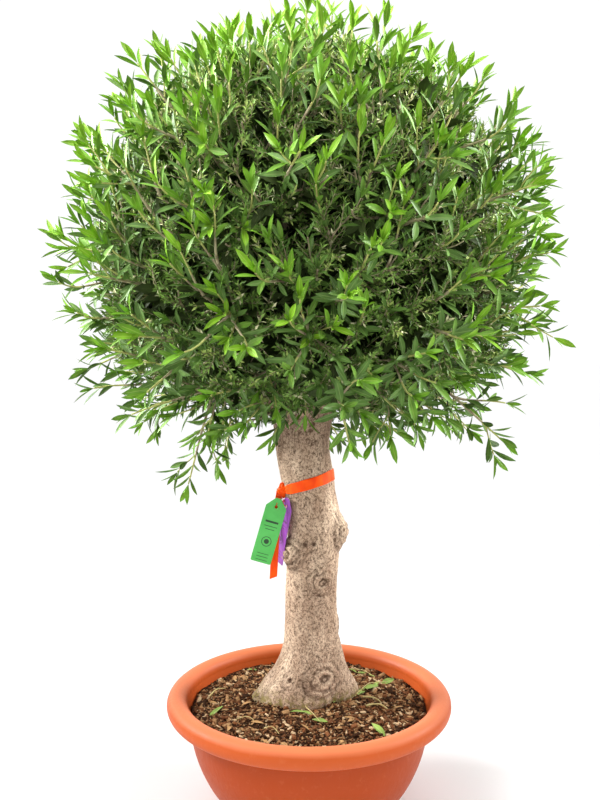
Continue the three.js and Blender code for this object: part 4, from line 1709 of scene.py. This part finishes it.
    def bear(
        self, limbs: Limbs, first: Array, gap: float, size: tuple, shades: Array, spread: tuple
    ) -> None:
        """Puts pairs of leaves on limbs, each pair a quarter turn from the one before.

        Args:
            limbs: The limbs.
            first: How far below the tip the first pair is, for each limb.
            gap: How far apart the pairs are.
            size: A leaf's length, and its width as a share of that.
            shades: The shade of each pair on each limb, or -1 for no leaves.
            spread: The first pair's angle from the limb, what each more pair adds, and the most.
        """
        random, count, long = self.random, len(limbs.handles), limbs.lengths()
        roll = random.uniform(0, math.pi, count)
        for pair, half in itertools.product(range(shades.shape[1]), (0, 1)):
            below = first + (pair + half * random.uniform(0.02, 0.25, count)) * gap
            share = 1 - below / long
            shade = shades[:, pair]
            there = (share > 0.1) & (shade >= 0) & (random.random(count) > 0.05)
            share = np.clip(share, 0, 1)[:, None]
            place, axis = limbs.at(share)[:, 0], limbs.way(share)[:, 0]
            turn = roll + pair * math.pi / 2 + half * math.pi + random.normal(0, 0.22, count)
            side = beside(axis, turn)
            angle = min(spread[0] + spread[1] * pair, spread[2]) + random.normal(0, 7, count)
            angle = np.radians(angle)[:, None]
            along = unit(axis * np.cos(angle) + side * np.sin(angle) + UP * 0.08)
            face = unit(axis + random.normal(0, 0.16, axis.shape) + UP * 0.25)
            length = size[0] * random.uniform(0.78, 1.18, count)
            width = length * size[1] * random.uniform(0.88, 1.12, count)
            self.leaves.put(*(v[there] for v in (place, along, face, length, width, shade)))

    def tip_leaves(self, limbs: Limbs, size: float, shades: Array) -> None:
        """Ends each limb in a pair of leaves with a smaller folded pair between them.

        Args:
            limbs: The limbs.
            size: A leaf's length.
            shades: The shade of each limb's end leaves.
        """
        random, many = self.random, len(limbs.handles)
        tip, axis = limbs.handles[:, 3], limbs.way(np.ones((many, 1)))[:, 0]
        roll = random.uniform(0, 2 * math.pi, many)
        for quarter, angle, share in ((0, 24, 1.0), (2, 22, 0.9), (1, 10, 0.68), (3, 15, 0.5)):
            out = beside(axis, roll + quarter * math.pi / 2 + random.normal(0, 0.2, many))
            spread = np.radians(angle + random.normal(0, 5, many))[:, None]
            along = unit(axis * np.cos(spread) + out * np.sin(spread))
            length = size * share * random.uniform(0.85, 1.12, many)
            self.leaves.put(tip, along, axis + UP * 0.1, length, length * self.leaf_slim, shades)

    def lay_out(self) -> None:
        """Grows the whole crown: leaders, branches, shoots and sprays, and their leaves."""
        leaders = self.leader_lines()
        self.keep(leaders, "woody", 14, 6, 0, 0.85)
        self.keep(leaders, "green", 4, 5, 0.85, 1)
        self.join(leaders, 14, 0.15, 0.85)

        ways = self.ways_round(self.branches, 0.06)
        shares = self.random.uniform(0.76, 0.93, len(ways))
        branches = self.grow_limbs(ways, shares, 0.8, 0.1, (0.0034, 0.0015), 0.3)
        self.keep(branches, "woody", 9, 5)
        self.join(branches, 10, 0.1, 1.0)

        self.dress(leaders, 6, 0.9)
        self.dress(self.side_sprigs(leaders), 3, 0.7)
        self.dress(self.lay_shoots(), 5, 0.6)
        inner = self.lay_inner_shoots()
        self.dress(inner, 4, 0.0)
        self.lay_sprays()
        old = ((branches, 0.045, 0.0105, 19), (leaders, 0.13, 0.011, 24), (inner, 0.1, 0.011, 10))
        self.fill_heart(old)

    def fill_heart(self, old: tuple) -> None:
        """Fills the inside of the crown with thin limbs and with large leaves, painted dark as
        shade.

        Args:
            old: The older limbs that bear such leaves too. Each comes with how far below its
                tip the first pair is, how far apart the pairs are, and how many.
        """
        ways = self.ways_round(self.heart_limbs, 0.1)
        shares = self.random.uniform(0.42, 0.7, len(ways))
        heart = self.grow_limbs(ways, shares, 0.3, 0.05, (0.002, 0.001), 0.0)
        self.keep(heart, "woody", 4, 3)
        for limbs, below, gap, pairs in ((heart, 0.0, 0.011, 9), *old):
            shades = np.full((len(limbs.handles), pairs), SHADES.index(Shade.SHADOW))
            first = np.full(len(limbs.handles), below)
            self.bear(limbs, first, gap, (self.leaf_length * 1.1, 0.36), shades, (50, 2, 75))

    def lay_shoots(self) -> Limbs:
        """Grows the leafy shoots that stand out of the crown all round.

        Returns:
            The shoots.
        """
        ways = self.ways_round(self.shoots, 0.07)
        long = self.random.random(len(ways)) ** 4 * 0.12
        shares = self.random.uniform(0.93, 1.035, len(ways)) + long + 1.4 * self.swell(ways)
        shoots = self.grow_limbs(ways, shares, 0.7, 0.1, (0.0029, 0.0014), 1.05)
        self.keep(shoots, "woody", 5, 5, 0, 0.6)
        self.keep(shoots, "green", 3, 5, 0.6, 1)
        self.join(shoots, 5, 0.1, 0.6)
        return shoots

    def lay_inner_shoots(self) -> Limbs:
        """Grows shoots with older, darker leaves, which end a little inside the crown.

        Returns:
            The shoots.
        """
        ways = self.ways_round(self.inner_shoots, 0.08)
        shares = self.random.uniform(0.86, 0.96, len(ways)) + 0.02 * noise(ways * 4.5, 31)
        shares = shares + self.swell(ways)
        shoots = self.grow_limbs(ways, shares, 0.7, 0.08, (0.0021, 0.0012), 0.5)
        self.keep(shoots, "woody", 6, 4)
        self.join(shoots, 5, 0.1, 0.8)
        return shoots

    def side_sprigs(self, leaders: Limbs) -> Limbs:
        """Grows short side shoots on the leaders, one or two on each.

        Args:
            leaders: The long shoots.

        Returns:
            The side shoots.
        """
        random, handles, count = self.random, [], len(leaders.handles)
        roll = random.uniform(0, 2 * math.pi, count)
        for number, (where, long) in enumerate(((0.72, 0.085), (0.84, 0.055))):
            share = where + random.normal(0, 0.025, (count, 1))
            foot, axis = leaders.at(share)[:, 0], leaders.way(share)[:, 0]
            way = unit(axis + beside(axis, roll + number * 2.6) * 0.75)
            long = long * random.uniform(0.75, 1.2, (count, 1))
            tip = foot + way * long
            late = tip - unit(way + axis * 0.4) * long * 0.35
            some = random.random(count) < (0.75, 0.5)[number]
            handles.append(np.stack([foot, foot + way * long * 0.3, late, tip], 1)[some])
        handles = np.concatenate(handles)
        sprigs = Limbs(handles, np.full(len(handles), 0.0016), np.full(len(handles), 0.0012))
        self.keep(sprigs, "green", 3, 5)
        return sprigs

    def dress(self, limbs: Limbs, pairs: int, bright: float) -> None:
        """Puts the end leaves and the pairs of leaves below them on shoots.

        Args:
            limbs: The shoots.
            pairs: How many pairs they bear.
            bright: The share of them whose end leaves are the brightest.
        """
        random, count = self.random, len(limbs.handles)
        high = (limbs.handles[:, 3, 2] - self.head.centre[2]) / self.head.radius[2]
        luck = random.random(count)
        age_and_shade = np.where(luck < bright, 0.0, np.where(luck < bright + 0.3, 1.0, 2.0))
        # inner shoots are older; painted light: high shoots get younger, lighter shades and low
        # ones older, darker shades
        age_and_shade = age_and_shade + (bright == 0) * 0.8 - 0.7 * np.clip(high, 0, 1) + 0.9 * np.clip(-high, 0, 1)
        pair_age_and_shade = age_and_shade[:, None] + 1.2 + 0.75 * np.arange(pairs)
        pair_age_and_shade = pair_age_and_shade + random.normal(0, 0.4, (count, pairs))
        order = numbers_of(Shade.YOUNG, Shade.FRESH, Shade.GREEN, Shade.DEEP)
        end_shades = order[np.clip(np.round(age_and_shade), 0, 3).astype(int)]
        pair_shades = order[np.clip(np.round(pair_age_and_shade), 0, 3).astype(int)]
        length = self.leaf_length * (1 if bright else 0.8)
        self.tip_leaves(limbs, length, end_shades)
        first = random.uniform(0.007, 0.014, count)
        self.bear(limbs, first, self.pair_gap, (length, self.leaf_slim), pair_shades, (38, 7, 58))

    def lay_sprays(self) -> None:
        """Fills the space between the shoots with small twigs and small leaves."""
        random = self.random
        ways = self.ways_round(self.sprays, 0.05)
        high = ways[:, 2]
        low = np.clip((-0.7 - high) / 0.25, 0, 1)
        lumps = noise(ways * 6, 32)
        shares = 0.942 - 0.25 * random.random(len(ways)) ** 1.8 + 0.03 * lumps - 0.05 * low
        shares = shares + self.swell(ways)
        sprays = self.grow_limbs(ways, shares, 0.35, 0.045, (0.0012, 0.0007), 0.35)
        self.keep(sprays, "woody", 3, 3)
        tips = sprays.handles[:, 3]
        high = (tips[:, 2] - self.head.centre[2]) / self.head.radius[2]
        # painted light: sprays higher up and nearer the outside get lighter shades, lower and
        # deeper ones darker
        bright = 0.6 * high + 2.2 * (self.head.share(tips) - 0.88)
        bright = bright + random.normal(0, 0.35, len(tips))
        luck = bright[:, None] + random.normal(0, 0.3, (len(bright), self.spray_pairs))
        dark, dull, light, pale = numbers_of(Shade.DARK, Shade.DULL, Shade.LIGHT, Shade.PALE)
        shades = np.where(luck < 0.0, dark, np.where(luck < 0.6, dull, light))
        # a few pale leaves at random, partly silvery undersides and partly painted glints
        shades = np.where(random.random(shades.shape) < 0.06, pale, shades)
        first = random.uniform(-0.001, 0.006, len(bright))
        size = (self.small_leaf, self.small_slim)
        self.bear(sprays, first, self.small_gap, size, shades, (20, 9, 62))

    def build(self, leaf: Growth, twig: Growth) -> None:
        """Builds the twigs and the leaves.

        Args:
            leaf: The growth that puts a leaf on each point.
            twig: The growth that gives a line its thickness.
        """
        skins = {
            "woody": TwigSkin("woody", rgb(174, 164, 130), rgb(128, 112, 86)),
            "green": TwigSkin("green", rgb(182, 186, 108), rgb(146, 142, 78)),
        }
        for kind, kept in self.twigs.items():
            material = skins[kind].make()
            for sides in sorted({each[2] for each in kept}):
                lines, radii, _ = zip(*(each for each in kept if each[2] == sides))
                piece = line_object(f"twigs_{kind}_{sides}", lines, radii)
                slot = "bark" if kind == "woody" else "leaf"
                placed(twig.run(piece, material, Sides=sides), slot)
        self.leaves.build(leaf, [f"foliage_{mass[2]}" for mass in self.head.masses])


# ---- Ribbon and tags ----
@dataclass
class Ribbon:
    """The ribbon: a band round the trunk, its knot and its loose end."""

    trunk: Trunk
    height: float = 0.706
    rise: float = 0.0165
    front_rise: float = 0.005
    width: float = 0.022
    thickness: float = 0.0006
    knot_azimuth: float = math.radians(203)
    knot_off: float = 0.0125
    knot_radius: float = 0.011
    knot_flat: float = 0.8
    knot_tall: float = 1.4
    tail_length: float = 0.188
    tail_width: float = 0.016
    tail_lean: float = math.radians(3.4)
    band_steps: int = 300
    tail_steps: int = 70
    turn_steps: int = 72
    across: int = 9  # points from edge to edge

    def level(self, azimuth: Array) -> Array:
        """The height of the middle of the band."""
        return self.height + self.rise * np.cos(azimuth) - self.front_rise * np.sin(azimuth)

    def knot_place(self) -> Array:
        """The middle of the knot."""
        height = self.level(self.knot_azimuth)
        radius = self.trunk.plain(np.array(self.knot_azimuth), height) + self.knot_off
        return around(self.knot_azimuth) * radius + self.trunk.middle(height)

    def build_band(self, finish: Material) -> None:
        """Builds the band, drawn together and pleated where it goes into the knot.

        Args:
            finish: The ribbon's material.
        """
        across = 13
        azimuth = full_turn(self.band_steps)[:, None]
        edge = np.linspace(-0.5, 0.5, across)[None]
        near = np.exp(-((wrapped(azimuth - self.knot_azimuth) / 0.3) ** 2))
        width = self.width * (1 - 0.5 * near) * (1 + 0.02 * np.sin(7 * azimuth))
        height = self.level(azimuth) + edge * width
        azimuth = np.broadcast_to(azimuth, height.shape)
        bark = self.trunk.surface(azimuth, height)
        spread = np.arange(-7, 8)
        over = np.max([np.roll(bark, shift, axis=0) for shift in spread], axis=0)
        taut = np.mean([np.roll(over, shift, axis=0) for shift in spread], axis=0)
        pleat = 0.0011 * near * np.cos(edge * 5 * math.pi)
        ruck = 0.0003 * np.sin(azimuth * 9 + edge * 5)
        radius = taut + 0.0011 + pleat + ruck
        rings = around(azimuth) * radius[..., None] + self.trunk.middle(height)
        faces = flipped(sheet_faces(self.band_steps, across, closed=True))
        placed(self.strip("ribbon_wrap", rings, faces, finish), "ribbon", "ribbon_band")

    def strip(self, name: str, points: Array, faces: list, finish: Material) -> Piece:
        """Makes a piece of ribbon from a sheet.

        Args:
            name: The piece's name.
            points: The sheet's points.
            faces: The sheet's faces.
            finish: The ribbon's material.

        Returns:
            The object.
        """
        piece = new_object(name, points, faces, material=finish)
        thicken(piece, self.thickness)
        return applied(piece)

    def build_knot(self, finish: Material) -> None:
        """Builds the knot: a pleated lump with two turns of ribbon drawn tight over it.

        Args:
            finish: The ribbon's material.
        """
        centre = self.knot_place() - around(self.knot_azimuth) * 0.010
        polar = np.linspace(0.12, math.pi - 0.12, 40)[::-1][:, None]
        azimuth = full_turn(self.turn_steps)[None]
        pleats = 1 + 0.06 * np.cos(8 * azimuth + 1.5 * polar) + 0.05 * np.cos(4 * polar + azimuth)
        pinch = 1 - 0.25 * np.exp(-(((polar - 1.75) / 0.25) ** 2))
        radius = self.knot_radius * pleats * pinch
        ball = around(azimuth) * np.sin(polar)[..., None] + UP * np.cos(polar)[..., None]
        shape = np.array([0.78, self.knot_flat * 0.85, self.knot_tall * 1.05])
        tall = UP * self.knot_radius * 1.5
        lump = skin(ball * radius[..., None] * shape + centre, centre - tall, centre + tall)
        piece = new_object("ribbon_knot_lump", *lump, material=finish)
        placed(piece, "ribbon", "ribbon_knot")

        turn = full_turn(self.turn_steps)[:, None]
        edge = np.linspace(-0.5, 0.5, self.across)[None]
        back = np.array([0, 1, 0])
        width = 0.0095 * (1 - 0.25 * np.cos(2 * turn))
        swell = 0.0098 - 0.001 * np.cos(edge * 3 * math.pi) - 0.0035 * edge**2
        faces = sheet_faces(self.turn_steps, self.across, closed=True)
        for number, (tilt, rise) in enumerate(((0.35, 0.002), (-0.75, -0.004))):
            level = np.array([math.cos(tilt), 0, math.sin(tilt)])
            out = level * np.cos(turn)[..., None] + back * np.sin(turn)[..., None]
            ring = out * swell[..., None] * (1.06, 0.86, 1.06)
            ring = ring + np.cross(level, back) * (edge * width + rise)[..., None] + centre
            placed(self.strip(f"ribbon_turn_{number + 1}", ring, faces, finish), "ribbon")

    def build_tail(self, finish: Material) -> None:
        """Builds the loose end, a little twisted, with a slanting cut.

        Args:
            finish: The ribbon's material.
        """
        share = np.linspace(0, 1, self.tail_steps)[:, None]
        edge = np.linspace(-0.5, 0.5, self.across)[None]
        width = self.tail_width * (0.5 + 0.5 * smooth(share, 0, 0.2))
        drop = share * (self.tail_length - 0.007 * (0.5 + edge))
        twist = 0.25 * np.sin(share * 5)
        side = edge * width
        x = side * np.cos(twist) - drop * math.sin(self.tail_lean)
        y = side * np.sin(twist) + 0.0035 * np.sin(share * 7)
        y = y + 0.0008 * np.cos(edge * 6) * (1 - share)
        points = np.stack([x, y, -drop], -1) + self.knot_place()
        faces = sheet_faces(self.tail_steps, self.across)
        placed(self.strip("ribbon_tail", points, faces, finish), "ribbon")

    def build(self) -> None:
        """Builds the whole ribbon."""
        finish = Satin().make()
        self.build_band(finish)
        self.build_knot(finish)
        self.build_tail(finish)


@dataclass
class HangTag:
    """A hang tag with its top corners cut off, on a bit of string."""

    name: str
    node: str
    finish: TagPlastic
    print_colour: Colour
    place: Array  # the middle of its hole
    turn: float  # degrees about Z
    knot: Array
    length: float = 0.1385
    width: float = 0.043
    thickness: float = 0.0009
    chamfer: float = 0.0165
    hole_radius: float = 0.0034
    hole_drop: float = 0.0185
    lean: float = math.radians(-16)
    bow: float = 0.0022
    corner: float = 0.002  # how round the lower corners are
    string_steps: int = 60
    string_radius: float = 0.0008
    # Each printed bar: how far below the hole, how long and how tall.
    bars: tuple = (
        (0.030, 0.027, 0.0042),
        (0.041, 0.027, 0.0013),
        (0.0475, 0.019, 0.0013),
        (0.1000, 0.024, 0.0012),
        (0.1068, 0.024, 0.0012),
        (0.1136, 0.024, 0.0012),
    )
    # Each printed ring: its radius and how wide its line is.
    rings: tuple = ((0.0105, 0.0014), (0.0052, 0.0052))
    rings_drop: float = 0.074

    def stand(self, across: Array, drop: Array, off: Array) -> Array:
        """Where a place on the tag is.

        Args:
            across: From its middle line, to the right.
            drop: Below the middle of its hole.
            off: In front of its plane.

        Returns:
            The points.
        """
        bent = off + self.bow * np.sin(np.pi * np.clip(drop / self.length, -0.1, 1))
        bent = bent - 12 * across**2 * self.bow
        x = across * math.cos(self.lean) + drop * math.sin(self.lean)
        z = across * math.sin(self.lean) - drop * math.cos(self.lean)
        turn = math.radians(self.turn)
        right = x * math.cos(turn) + bent * math.sin(turn)
        back = x * math.sin(turn) - bent * math.cos(turn)
        return np.stack([right, back, z], -1) + self.place

    def build_plate(self) -> None:
        """Builds the tag itself with its hole."""
        rows, columns = 61, 25
        drop = np.linspace(-self.hole_drop, self.length - self.hole_drop, rows)[:, None]
        slope = self.chamfer * 1.15
        cut = np.clip(1 - (drop + self.hole_drop) / slope, 0, 1) * self.chamfer
        near = np.clip((drop - self.length + self.hole_drop + self.corner) / self.corner, 0, 1)
        half = self.width / 2 - cut - self.corner * (1 - np.sqrt(1 - near**2))
        across = np.linspace(-1, 1, columns)[None] * half
        drop = np.broadcast_to(drop, across.shape)
        points = self.stand(across, drop, np.zeros_like(across))
        faces = flipped(sheet_faces(rows, columns))
        piece = new_object(f"{self.name}_plate", points, faces, material=self.finish.make())
        thicken(piece, self.thickness)
        x, y, _ = self.hole_radius * around(full_turn(28)).T
        ends = np.array([self.stand(x, y, np.full_like(x, off)) for off in (-0.006, 0.006)])
        drill = new_object("drill", *skin(ends[:, ::-1], *ends.mean(1)))
        hole = piece.modifiers.new("hole", "BOOLEAN")
        hole.object = drill
        hole.solver = "EXACT"
        edge = piece.modifiers.new("edge", "BEVEL")
        edge.width = 0.00018
        edge.segments = 1
        edge.limit_method = "ANGLE"
        applied(piece)
        bpy.data.objects.remove(drill)
        placed(piece, self.node, self.node)

    def build_print(self) -> None:
        """Prints plain bars, ruled lines and rings on the front of the tag."""
        ink = TagPlastic(f"{self.name}_ink", self.print_colour, self.print_colour)
        strips = []
        for drop, long, tall in self.bars:
            across = np.linspace(-long / 2, long / 2, 12)
            strips.append(self.strip(*np.meshgrid(across, [drop, drop + tall])))
        turn = np.linspace(0, 2 * math.pi, 49)
        for radius, wide in self.rings:
            rim = np.array([[radius - wide], [radius]])
            strips.append(self.strip(rim * np.sin(turn), self.rings_drop - rim * np.cos(turn)))
        piece = new_object(f"{self.name}_lines", *joined(strips), material=ink.make())
        placed(piece, self.node)

    def strip(self, across: Array, drop: Array) -> tuple[Array, list]:
        """Lays a strip of print on the tag.

        Args:
            across: Where its two rows of points are, from the middle line to the right.
            drop: How far below the hole they are.

        Returns:
            Its points and its faces.
        """
        off = np.full_like(across, self.thickness / 2 + 0.00012)
        points = self.stand(across, drop, off).reshape(-1, 3)
        return points, flipped(sheet_faces(*across.shape))

    def build_string(self, grow: Growth, finish: Material) -> None:
        """Loops a twisted string from the hole up to the knot.

        Args:
            grow: The growth that gives a line its thickness.
            finish: The string's material.
        """
        share = np.linspace(0, 1, self.string_steps)[:, None]
        top = self.knot + np.array([0.0, -0.006, -0.006])
        strands = []
        for off, phase in ((0.0035, 0.0), (-0.0035, math.pi)):
            foot = self.stand(np.zeros(1), np.array([-0.001]), np.array([off]))
            line = foot * (1 - share) ** 1.5 + top * (1 - (1 - share) ** 1.5)
            coil = 0.0009 * np.sin(np.pi * np.clip(share * 1.15, 0, 1))
            turn = share * 26 + phase
            line = line + coil * np.concatenate([np.cos(turn), np.sin(turn), 0 * turn], -1)
            strands.append(line)
        loop = np.concatenate([strands[0][::-1], strands[1]])
        radii = np.full(len(loop), self.string_radius)
        piece = line_object(f"{self.name}_string", [loop[None]], [radii])
        placed(grow.run(piece, finish, Sides=8), "ribbon")


# ---- Studio ----
@dataclass
class Studio:
    """The pale floor, the soft light and the camera."""

    camera_place: tuple = (-0.0189, -2.047, 1.098)
    pitch: float = math.radians(6.17)
    lens: float = 45.0
    floor_radius: float = 14.0
    floor_sides: int = 96
    sky: float = 1.05
    # By name: power, size, spread in degrees, place, and where it is aimed.
    lamps: dict = field(
        default_factory=lambda: {
            "key": (50.0, 1.5, 180, (-1.9, -2.3, 3.5), (0, 0, 1.0)),
            "crown_left": (38.0, 1.3, 46, (-2.4, 0.5, 2.3), (0, 0, 1.45)),
            "crown_right": (26.0, 1.3, 46, (2.4, 0.4, 2.2), (0, 0, 1.45)),
            "crown_top": (8.0, 1.2, 50, (0.1, -0.4, 4.0), (0, 0, 1.6)),
        }
    )

    def build(self) -> None:
        """Sets all of it up."""
        scene = bpy.context.scene
        scene.view_settings.view_transform = "Standard"
        camera = bpy.data.cameras.new("camera")
        camera.lens = self.lens
        holder = bpy.data.objects.new("camera", camera)
        holder.location = self.camera_place
        holder.rotation_euler = (math.pi / 2 - self.pitch, 0, 0)
        scene.collection.objects.link(holder)
        scene.camera = holder

        world = bpy.data.worlds.new("soft_room")
        world.use_nodes = True
        light = world.node_tree.nodes["Background"]
        light.inputs["Color"].default_value = (1, 1, 1, 1)
        light.inputs["Strength"].default_value = self.sky
        scene.world = world

        for name, (power, size, spread, place, target) in self.lamps.items():
            light = bpy.data.lights.new(name, "AREA")
            light.energy, light.size, light.spread = power, size, math.radians(spread)
            lamp = bpy.data.objects.new(name, light)
            lamp.location = place
            aim = Vector(target) - Vector(place)
            lamp.rotation_euler = aim.to_track_quat("-Z", "Y").to_euler()
            scene.collection.objects.link(lamp)

        points = around(full_turn(self.floor_sides)) * self.floor_radius
        face = list(range(self.floor_sides))
        floor = new_object("floor", points, [face], material=PaleFloor().make())


# ---- The tree ----
def main() -> None:
    """Builds the tree sub-assembly by sub-assembly."""
    logging.basicConfig(level=logging.INFO, format="%(message)s")
    Studio().build()

    bowl = Bowl()
    bowl.build()
    fill = Fill(bowl)
    fill.build_mound()
    fill.build_chips(chip_growth())
    leaf, twig = leaf_growth(), twig_growth()
    litter = Litter(fill)
    litter.build_leaves(leaf)
    litter.build_straws(twig)

    trunk = Trunk()
    trunk.build()
    head = Head()
    boughs = Boughs(head, trunk)
    boughs.build()
    crown = Crown(head, boughs)
    crown.lay_out()
    crown.build(leaf, twig)

    ribbon = Ribbon(trunk)
    ribbon.build()
    knot = ribbon.knot_place()
    string = Satin("string", rgb(236, 84, 30), rgb(196, 52, 12), 412.698).make()
    green = TagPlastic("green", rgb(86, 190, 88), rgb(74, 178, 76))
    purple = TagPlastic("purple", rgb(134, 60, 156), rgb(116, 46, 136))
    spot = knot + np.array([-0.004, -0.016, -0.031])
    against = around(math.radians(219)) * (trunk.radius + 0.0102)
    back_spot = trunk.middle(knot[2] - 0.030) + against
    tags = (
        HangTag("green_tag", "tag_green", green, rgb(22, 62, 26), spot, 0, knot),
        HangTag(
            "purple_tag", "tag_purple", purple, rgb(84, 30, 92), back_spot, -58, knot, length=0.146
        ),
    )
    for tag in tags:
        tag.build_plate()
        tag.build_print()
        tag.build_string(twig, string)


if __name__ == "__main__":
    main()
